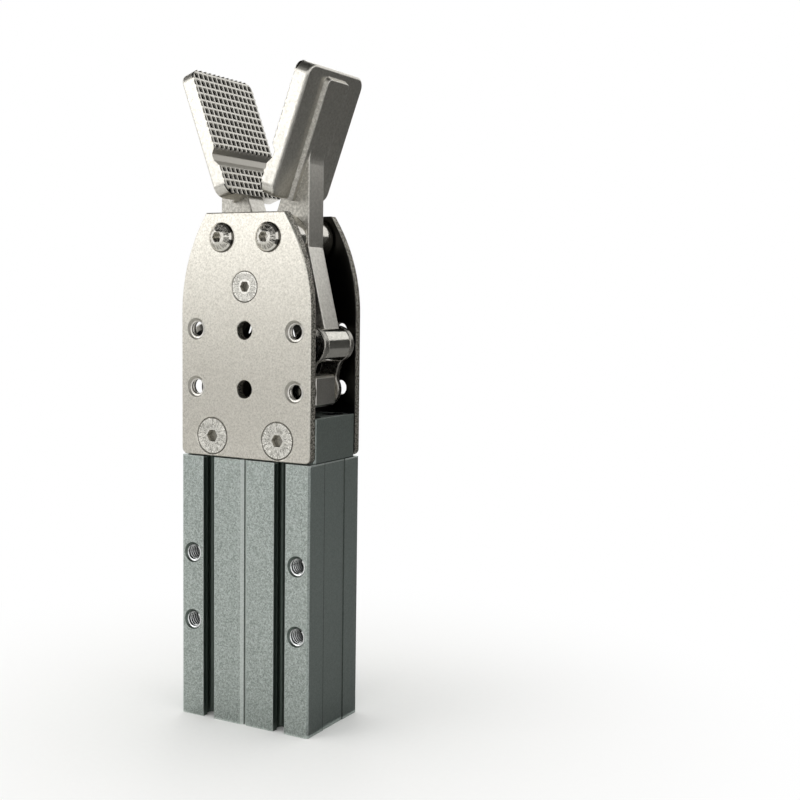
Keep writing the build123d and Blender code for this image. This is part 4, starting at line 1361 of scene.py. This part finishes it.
@dataclass
class Finishes:
    """Every finish of the gripper, built once."""

    # Hard-anodised extruded aluminium, blasted first: grey-green, with a fine sparkle. The
    # grain is drawn about twice as coarse as real blasting, so that it shows.
    anodised: BlastedAnodising = BlastedAnodising(
        "hard_anodised_aluminium", "#cbd3cf", "#9da5a0", 0.46, 0.32, 0.006, 2.0, 0.3
    )
    # The same on the head, whose sides are a little darker than the body's.
    head_anodised: BlastedAnodising = BlastedAnodising(
        "hard_anodised_head", "#cbd3cf", "#9da5a0", 0.46, 0.32, 0.006, 2.0, 0.3,
        plain_side="#8b948f",
    )
    # Nickel plate over blasted sheet steel: warm white and satin, with a fine tooth.
    sheet: PlatedSheet = PlatedSheet(
        "satin_nickel_sheet", "#fbf7ed", "#c9c5ba", 0.32, 0.45, 0.012, 4.0, 0.2, edge_mm=0.35
    )
    # Nickel plate over a steel casting: the casting's skin shows through as a coarser grain, and
    # stays darker on the flanks and in the pad's cross groove, partly as painted shade; shade is
    # painted into the pad's pits too.
    right_casting: PlatedCasting = PlatedCasting(
        "nickel_casting_right", "#eae7df", "#cac7be", 0.34, 0.7, 0.02, 3.0, 0.2, 0.06, 0.3,
        side=1,
    )
    left_casting: PlatedCasting = PlatedCasting(
        "nickel_casting_left", "#eae7df", "#cac7be", 0.34, 0.7, 0.02, 3.0, 0.2, 0.06, 0.3,
        side=-1,
    )
    # Bright nickel plate on cold-forged domed heads: nearly a mirror, with the die's marks.
    domed_head: ForgedHead = ForgedHead(
        "bright_nickel_domed_screw", "#f1eee6", "#d3d0c7", 0.07, 0.7, 0.03, 2.0, 0.2, 0.03,
        centre_x=7.15, centre_z=126.1, lines_from=2.0, lines_to=3.1, socket_radius=1.3,
        face_y=14.0, rim_radius=3.8, rim_width=0.28, line_count=7.0, flow_line_and_rim_shade="#66635c",
    )
    # The same plate on cold-forged flat heads, which keep the die's flow lines.
    foot_head: ForgedHead = ForgedHead(
        "forged_nickel_foot_screw", "#fffdf6", "#efece3", 0.28, 0.5, 0.02, 2.0, 0.3, 0.04,
        centre_x=10.15, centre_z=75.15,
    )
    post_head: ForgedHead = ForgedHead(
        "forged_nickel_post_screw", "#fffdf6", "#efece3", 0.28, 0.5, 0.02, 2.0, 0.3, 0.04,
        centre_z=113.7, lines_from=1.9, lines_to=3.7, socket_radius=1.45,
        rim_radius=4.0, line_strength=0.35,
    )
    # Blackened steel of small fasteners, with an oily sheen.
    black_steel: GrainyMetal = GrainyMetal(
        "blackened_steel", "#3a3a3c", "#252527", 0.34, 0.3, 0.004
    )
    # Milled and plated steel of the crosshead and of the plates' threads: pale and even.
    milled_steel: GrainyMetal = GrainyMetal(
        "milled_plated_steel", "#e6e3dc", "#d0cdc6", 0.3, 0.5, 0.004
    )
    # Stamped steel of the links, plated but dull: grey, with blurred reflections.
    stamped_steel: GrainyMetal = GrainyMetal(
        "stamped_dull_steel", "#bab7b0", "#99968f", 0.28, 0.6, 0.006
    )
    # Ground steel of pins and shafts, lying along Y: fine rings that streak the highlight.
    ground_steel: TurnedMetal = TurnedMetal(
        "ground_steel", "#c3c1bb", "#a3a19b", 0.22, 0.12, 0.002, Axis.Y
    )
    # Hard chrome of the piston rod, ground and polished: nearly a mirror.
    chrome: TurnedMetal = TurnedMetal(
        "hard_chrome", "#d9dbdc", "#c6c8ca", 0.12, 0.1, 0.001, Axis.Z
    )
    # Turned aluminium of the piston and end cap, with visible tool rings.
    turned_aluminium: TurnedMetal = TurnedMetal(
        "turned_aluminium", "#cdd0d2", "#b2b5b7", 0.3, 0.2, 0.004, Axis.Z
    )
    # Bare aluminium that the tap cut through the anodising: bright against the grey.
    cut_aluminium: GrainyMetal = GrainyMetal(
        "cut_aluminium", "#dfe2e2", "#b6baba", 0.2, 0.3, 0.003
    )
    # The same in the body's four tapped holes, with shade painted into the roots and down the
    # holes.
    oiled_thread: CutThread = CutThread(
        "cut_aluminium_with_painted_shade", "#fbfdfd", "#e2e5e5", 0.22, 0.3, 0.003
    )
    # Drawn spring wire: smooth and grey, with a narrow highlight.
    wire: GrainyMetal = GrainyMetal("spring_wire", "#8c8c8c", "#6a6a6b", 0.3, 0.25, 0.004)
    # Sintered bronze, porous and oily.
    bronze: GrainyMetal = GrainyMetal("sintered_bronze", "#b08a52", "#8c6b3c", 0.42, 0.25, 0.01)
    # Moulded nitrile rubber of the seals: black and matt.
    rubber: Moulded = Moulded("nitrile_rubber", "#1b1b1c", "#111112", 0.55, 0.3, 0.006, 1.52)
    # Moulded acetal of the wear ring: cream, with a waxy sheen.
    acetal: Moulded = Moulded("natural_acetal", "#d9d3bf", "#cdc7b2", 0.4, 0.5, 0.003, 1.48)
    # Plastic-bonded ferrite of the sensor magnet, pressed to shape: dark grey and dull.
    ferrite: Moulded = Moulded("bonded_ferrite", "#302f2f", "#232323", 0.6, 0.3, 0.006, 1.5)
    made: dict[str, bpy.types.Material] = field(default_factory=dict)

    def get(self, finish: str) -> bpy.types.Material:
        """Builds a finish the first time that it is asked for.

        Args:
            finish: The name of the field that holds it.

        Returns:
            The material.
        """
        if finish not in self.made:
            self.made[finish] = getattr(self, finish).build()
        return self.made[finish]


@dataclass
class CylinderBody:
    """The anodised extrusion with its four tapped holes and the air port."""

    hole_x: float = 16.3
    hole_low_z: float = 25.8
    hole_pitch: float = 18.0
    half_depth: float = 12.0
    port_z: float = 11.1
    port_face_x: float = 19.85
    port_length: float = 9.0
    port_mouth_radius: float = 2.1
    thread_stop: float = 0.6

    def build(self, finishes: Finishes) -> None:
        """Dresses the body and adds the threads.

        Args:
            finishes: The gripper's finishes.
        """
        dress("cylinder_body", finishes.get("anodised"))
        tapped = finishes.get("oiled_thread")
        for side in (-1, 1):
            for row in range(2):
                z = self.hole_low_z + row * self.hole_pitch
                side_name = "left" if side < 0 else "right"
                name = f"body_thread_{side_name}_{'low' if row == 0 else 'high'}"
                mouth = (side * self.hole_x, -self.half_depth, z)
                length = 2 * self.half_depth - self.thread_stop
                ThreadRidge(name, mouth, Vector((0, 1, 0)), length).build(
                    tapped, "housing", "anodised_body"
                )
        port = (-self.port_face_x, 0.0, self.port_z)
        ThreadRidge(
            "air_port_thread",
            port,
            Vector((1, 0, 0)),
            self.port_length,
            mouth_radius=self.port_mouth_radius,
        ).build(finishes.get("cut_aluminium"), "housing", "anodised_body")


@dataclass
class CylinderInside:
    """What is in the bore, and the plug that closes it."""

    turned: tuple[str, ...] = ("end_cap", "piston")
    rubber: tuple[str, ...] = (
        "end_cap_o_ring",
        "head_o_ring",
        "end_bumper",
        "piston_seal",
        "rod_wiper",
    )

    def build(self, finishes: Finishes) -> None:
        """Dresses the cylinder's inner pieces.

        Args:
            finishes: The gripper's finishes.
        """
        for node in self.turned:
            dress(node, finishes.get("turned_aluminium"))
        for node in self.rubber:
            dress(node, finishes.get("rubber"))
        dress("piston_rod", finishes.get("chrome"))
        dress("piston_wear_ring", finishes.get("acetal"))
        dress("piston_magnet", finishes.get("ferrite"))
        dress("rod_bush", finishes.get("bronze"))
        dress("retaining_ring", finishes.get("black_steel"))
        dress("piston_nut", finishes.get("black_steel"))


@dataclass
class ReturnSpring:
    """The spring in the bore, which shortens towards the head as the piston rises.

    The solid keeps its length at every pose, and this helix stands in its place, at one length
    too.
    """

    mean_radius: float = 7.0
    wire_radius: float = 0.8
    turns: int = 7
    stroke: float = 13.843
    steps_a_turn: int = 40
    sides: int = 14

    def build(self, finishes: Finishes) -> bpy.types.Object:
        """Builds the helix in the solid's place, and hides the solid.

        Args:
            finishes: The gripper's finishes.

        Returns:
            The new object.
        """
        low, high = (Vector(corner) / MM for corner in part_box("return_spring"))
        bottom = low.z + self.wire_radius
        height = high.z - self.wire_radius - bottom
        count = self.turns * self.steps_a_turn
        slope = height / (2 * math.pi * self.mean_radius * self.turns)
        rings = []
        for step in range(count + 1):
            turn = 2 * math.pi * step / self.steps_a_turn
            outward = Vector((math.cos(turn), math.sin(turn), 0.0))
            along = Vector((-math.sin(turn), math.cos(turn), slope)).normalized()
            upward = along.cross(outward) * -1
            centre = outward * self.mean_radius + Vector((0, 0, bottom + height * step / count))
            ring = []
            for side in range(self.sides):
                angle = 2 * math.pi * side / self.sides
                reach = outward * math.cos(angle) + upward * math.sin(angle)
                ring.append((centre + reach * self.wire_radius) * MM)
            rings.append(ring)
        helix = skin_rings("wire_helix", rings, finishes.get("wire"), smooth=True)
        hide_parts("return_spring")
        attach(helix, "housing")
        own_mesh(helix)
        LOG.info("built the return spring")
        return helix


@dataclass
class HeadAndPlates:
    """The head block and the two side plates with their tapped holes."""

    hole_x: float = 15.25
    hole_high_z: float = 102.7
    hole_pitch: float = 15.0
    outer_y: float = 12.0
    inner_y: float = 9.5
    mouth_radius: float = 2.85

    def build(self, finishes: Finishes) -> None:
        """Dresses the head and the plates, and adds the threads.

        Args:
            finishes: The gripper's finishes.
        """
        dress("cylinder_head", finishes.get("head_anodised"))
        sheet = finishes.get("sheet")
        for face, name in ((-1, "front"), (1, "back")):
            dress(f"{name}_side_plate", sheet)
            for side in (-1, 1):
                for row in range(2):
                    z = self.hole_high_z - row * self.hole_pitch
                    mouth = (side * self.hole_x, face * self.outer_y, z)
                    length = self.outer_y - self.inner_y
                    place = "left" if side < 0 else "right"
                    level = "high" if row == 0 else "low"
                    ThreadRidge(
                        f"{name}_plate_thread_{place}_{level}",
                        mouth,
                        Vector((0, -face, 0)),
                        length,
                        mouth_radius=self.mouth_radius,
                        steps_a_turn=36,
                    ).build(finishes.get("milled_steel"), "housing", "plated_steel")


@dataclass
class Fasteners:
    """The screws, shafts and washers that hold the plates and the pivots."""

    ground: tuple[str, ...] = ("right_pivot_shaft", "left_pivot_shaft", "spacer_post")

    def build(self, finishes: Finishes) -> None:
        """Dresses the fasteners.

        Args:
            finishes: The gripper's finishes.
        """
        dress("pivot_screws", finishes.get("domed_head"))
        dress("foot_screws", finishes.get("foot_head"))
        dress("post_screws", finishes.get("post_head"))
        for node in self.ground:
            dress(node, finishes.get("ground_steel"))
        dress("head_screws", finishes.get("black_steel"))
        dress("thrust_washers", finishes.get("bronze"))


@dataclass
class Jaws:
    """The two cast levers and their bushes."""

    sides: tuple[str, str] = ("right", "left")

    def build(self, finishes: Finishes) -> None:
        """Dresses the levers.

        Args:
            finishes: The gripper's finishes.
        """
        for side in self.sides:
            dress(f"{side}_lever", finishes.get(f"{side}_casting"))
            dress(f"{side}_lever_bushes", finishes.get("bronze"))


@dataclass
class Linkage:
    """The crosshead, its pins and the four links."""

    links: tuple[str, ...] = (
        "right_front_link",
        "right_back_link",
        "left_front_link",
        "left_back_link",
    )
    clips: tuple[str, ...] = (
        "crosshead_pin_clips",
        "right_link_pin_clips",
        "left_link_pin_clips",
        "crosshead_nut",
    )
    pins: tuple[str, ...] = ("crosshead_pins", "right_link_pin", "left_link_pin")

    def build(self, finishes: Finishes) -> None:
        """Dresses the linkage.

        Args:
            finishes: The gripper's finishes.
        """
        dress("crosshead", finishes.get("milled_steel"))
        for node in self.links:
            dress(node, finishes.get("stamped_steel"))
        for node in self.clips:
            dress(node, finishes.get("black_steel"))
        for node in self.pins:
            dress(node, finishes.get("ground_steel"))


@dataclass
class Softbox:
    """One area lamp that faces the object."""

    name: str
    place_m: tuple[float, float, float]
    aim_m: tuple[float, float, float]
    width_m: float
    height_m: float
    watts: float
    in_metal: bool = True

    def build(self) -> bpy.types.Object:
        """Adds the lamp.

        Returns:
            The lamp's object.
        """
        lamp = bpy.data.lights.new(self.name, "AREA")
        lamp.shape = "RECTANGLE"
        lamp.size = self.width_m
        lamp.size_y = self.height_m
        lamp.energy = self.watts
        holder = link(self.name, lamp)
        holder.location = self.place_m
        towards = Vector(self.aim_m) - Vector(self.place_m)
        holder.rotation_euler = towards.to_track_quat("-Z", "Y").to_euler()
        holder.visible_glossy = self.in_metal
        LOG.info("lit %s", self.name)
        return holder


@dataclass
class Card:
    """A paper card beside the set, which keeps a part of the metal's reflections dark.

    It may be graded, from its low colour at the bottom to its high colour at the top.
    """

    name: str
    centre_m: tuple[float, float, float]
    facing_m: tuple[float, float, float]
    width_m: float
    height_m: float
    low: str
    high: str
    fibre_mm: float = 20.0
    fibre_rise_m: float = 0.04

    def _paper(self) -> bpy.types.Material:
        """Makes the card's matt paper.

        Returns:
            The material.
        """
        material, tree, output = new_material(f"{self.name}_paper")
        place = add_node(tree, "ShaderNodeTexCoord").outputs["Object"]
        fibre = add_node(
            tree,
            "ShaderNodeTexNoise",
            {"Scale": per_metre(self.fibre_mm), "Detail": 3.0},
            {"Vector": place},
        )
        height = add_node(tree, "ShaderNodeSeparateXYZ", {}, {0: place})
        level = add_node(
            tree,
            "ShaderNodeMath",
            {"operation": "MULTIPLY_ADD", 1: self.fibre_rise_m, 2: -self.fibre_rise_m / 2},
            {0: fibre.outputs["Fac"]},
        )
        along = add_node(
            tree,
            "ShaderNodeMath",
            {"operation": "ADD"},
            {0: height.outputs["Z"], 1: level.outputs[0]},
        )
        grade = add_node(
            tree,
            "ShaderNodeMapRange",
            {
                "From Min": self.centre_m[2] - self.height_m / 2,
                "From Max": self.centre_m[2] + self.height_m / 2,
            },
            {"Value": along.outputs[0]},
        )
        colour = add_node(
            tree,
            "ShaderNodeMix",
            {"data_type": "RGBA", 6: hex_to_linear(self.low), 7: hex_to_linear(self.high)},
            {0: grade.outputs["Result"]},
        )
        shader = add_node(
            tree, "ShaderNodeBsdfDiffuse", {"Roughness": 1.0}, {"Color": colour.outputs[2]}
        )
        tree.links.new(shader.outputs[0], output.inputs["Surface"])
        return material

    def build(self) -> bpy.types.Object:
        """Adds the card.

        Returns:
            The card's object.
        """
        facing = Vector(self.facing_m).normalized()
        upright = Vector((0, 0, 1)) if abs(facing.z) < 0.9 else Vector((0, 1, 0))
        across = upright.cross(facing).normalized()
        rise = facing.cross(across)
        centre = Vector(self.centre_m)
        shape = bmesh.new()
        corners = []
        for u, v in ((-1, -1), (1, -1), (1, 1), (-1, 1)):
            corner = centre + across * (u * self.width_m / 2) + rise * (v * self.height_m / 2)
            corners.append(shape.verts.new(corner))
        shape.faces.new(corners)
        mesh = bpy.data.meshes.new(self.name)
        shape.to_mesh(mesh)
        shape.free()
        mesh.materials.append(self._paper())
        card = link(self.name, mesh)
        card.visible_camera = False
        card.visible_shadow = False
        card.visible_diffuse = False
        return card


@dataclass
class Studio:
    """The floor, the white surroundings, the lamps and the camera."""

    floor_half_m: float = 3.0
    floor_colour: str = "#f3f3f1"
    speckle_colour: str = "#f6f6f4"
    speckle_mm: float = 1.5
    fade_from_m: float = 0.03
    fade_to_m: float = 0.15
    world_level: float = 0.8
    camera_place_m: tuple[float, float, float] = (0.18204, -0.261472, 0.112119)
    camera_yaw: float = 28.73
    camera_pitch: float = -4.956
    camera_roll: float = 0.828
    lens: float = 54.37
    sensor: float = 36.0
    clip_near_m: float = 0.01
    clip_far_m: float = 20.0
    softboxes: tuple[Softbox, ...] = (
        Softbox("key_softbox", (-0.52, -0.62, 0.46), (0.0, 0.0, 0.1), 0.5, 0.6, 1.2),
        Softbox("top_softbox", (-0.05, -0.1, 0.8), (0.0, 0.0, 0.1), 0.6, 0.6, 1.2, in_metal=False),
        Softbox("back_strip", (-0.35, 0.55, 0.35), (0.0, 0.0, 0.12), 0.2, 0.5, 0.4),
    )
    cards: tuple[Card, ...] = (
        Card(
            "overhead_card", (0.0, -0.185, 0.46), (0.0, 0.0, -1.0), 1.0, 0.77,
            "#4a4a49", "#4a4a49",
        ),
        Card(
            "right_back_card", (0.24, 0.36, 0.105), (-0.57, -0.82, 0.0), 0.56, 0.214,
            "#5c5c5b", "#4a4a49",
        ),
        Card(
            "low_back_card", (0.2801, 0.3, 0.0006), (0.0, 0.0, 1.0), 0.52, 0.63,
            "#80807f", "#80807f",
        ),
        Card(
            "low_front_card", (0.3, -0.24, 0.0004), (0.0, 0.0, 1.0), 0.44, 0.5,
            "#484847", "#484847",
        ),
        Card(
            "low_left_card", (-0.09, -0.152, 0.0005), (0.0, 0.0, 1.0), 0.4, 0.28,
            "#e2e2e0", "#e2e2e0",
        ),
        Card(
            "left_low_card", (-0.3, -0.42, 0.065), (0.57, 0.82, 0.0), 0.6, 0.13,
            "#403f3e", "#f0f0ee",
        ),
    )

    def build(self) -> None:
        """Sets up everything around the object."""
        self._floor()
        self._world()
        for lamp in self.softboxes:
            lamp.build()
        for card in self.cards:
            card.build()
        self._camera()
        bpy.context.scene.view_settings.view_transform = "Standard"

    def _seen_directly(self, tree: Tree) -> Socket:
        """Adds the test for a ray from the camera, a reflection or a transmission.

        Args:
            tree: The node tree to add to.

        Returns:
            The socket that is one for such a ray.
        """
        ray = add_node(tree, "ShaderNodeLightPath")
        kinds = ("Is Camera Ray", "Is Glossy Ray", "Is Transmission Ray")
        return joined(tree, Join.ANY, *(ray.outputs[kind] for kind in kinds))

    def _floor(self) -> None:
        """Adds the pale floor, which turns to plain white away from the object."""
        material, tree, output = new_material("pale_floor_paint")
        place = add_node(tree, "ShaderNodeTexCoord").outputs["Object"]
        reach = add_node(tree, "ShaderNodeVectorMath", {"operation": "LENGTH"}, {0: place})
        fade = add_node(
            tree,
            "ShaderNodeMapRange",
            {
                "interpolation_type": "SMOOTHSTEP",
                "From Min": self.fade_from_m,
                "From Max": self.fade_to_m,
            },
            {"Value": reach.outputs["Value"]},
        )
        speckle = add_node(
            tree, "ShaderNodeTexNoise", {"Scale": per_metre(self.speckle_mm)}, {"Vector": place}
        )
        paint = add_node(
            tree,
            "ShaderNodeMix",
            {
                "data_type": "RGBA",
                6: hex_to_linear(self.floor_colour),
                7: hex_to_linear(self.speckle_colour),
            },
            {0: speckle.outputs["Fac"]},
        )
        matte = add_node(tree, "ShaderNodeBsdfDiffuse", {}, {"Color": paint.outputs[2]})
        white = add_node(
            tree, "ShaderNodeEmission", {"Color": (1.0, 1.0, 1.0, 1.0), "Strength": 1.0}
        )
        seen = joined(tree, Join.ALL, self._seen_directly(tree), fade.outputs["Result"])
        mixed = add_node(
            tree, "ShaderNodeMixShader", {}, {0: seen, 1: matte.outputs[0], 2: white.outputs[0]}
        )
        tree.links.new(mixed.outputs[0], output.inputs["Surface"])
        half = self.floor_half_m
        mesh = bpy.data.meshes.new("floor")
        corners = [(-half, -half, 0), (half, -half, 0), (half, half, 0), (-half, half, 0)]
        mesh.from_pydata(corners, [], [(0, 1, 2, 3)])
        mesh.materials.append(material)
        floor = link("floor", mesh)

    def _world(self) -> None:
        """Makes the surroundings white to the camera and in reflections."""
        world = bpy.data.worlds.new("white_surroundings")
        bpy.context.scene.world = world
        world.use_nodes = True
        tree = world.node_tree
        tree.nodes.clear()
        output = add_node(tree, "ShaderNodeOutputWorld")
        soft = add_node(
            tree,
            "ShaderNodeBackground",
            {"Color": (1.0, 1.0, 1.0, 1.0), "Strength": self.world_level},
        )
        white = add_node(
            tree, "ShaderNodeBackground", {"Color": (1.0, 1.0, 1.0, 1.0), "Strength": 1.0}
        )
        mixed = add_node(
            tree,
            "ShaderNodeMixShader",
            {},
            {0: self._seen_directly(tree), 1: soft.outputs[0], 2: white.outputs[0]},
        )
        tree.links.new(mixed.outputs[0], output.inputs["Surface"])

    def _camera(self) -> None:
        """Puts the camera where the photograph was taken from."""
        yaw = math.radians(self.camera_yaw)
        pitch = math.radians(self.camera_pitch)
        roll = math.radians(self.camera_roll)
        ahead = Vector(
            (
                -math.sin(yaw) * math.cos(pitch),
                math.cos(yaw) * math.cos(pitch),
                math.sin(pitch),
            )
        )
        level_right = Vector((math.cos(yaw), math.sin(yaw), 0.0))
        level_up = level_right.cross(ahead)
        right = level_right * math.cos(roll) + level_up * math.sin(roll)
        up = level_up * math.cos(roll) - level_right * math.sin(roll)
        lens = bpy.data.cameras.new("photo_camera")
        lens.lens = self.lens
        lens.sensor_width = self.sensor
        lens.clip_start = self.clip_near_m
        lens.clip_end = self.clip_far_m
        camera = link("photo_camera", lens)
        turn = Matrix((right, up, -ahead)).transposed().to_4x4()
        camera.matrix_world = Matrix.Translation(self.camera_place_m) @ turn
        bpy.context.scene.camera = camera


def main() -> None:
    """Dresses every piece and sets up the studio."""
    logging.basicConfig(level=logging.INFO, format="%(name)s: %(message)s")
    finishes = Finishes()
    for assembly in (
        CylinderBody(),
        CylinderInside(),
        ReturnSpring(),
        HeadAndPlates(),
        Fasteners(),
        Jaws(),
        Linkage(),
    ):
        assembly.build(finishes)
        LOG.info("finished %s", type(assembly).__name__)
    Studio().build()


if __name__ == "__main__":
    main()
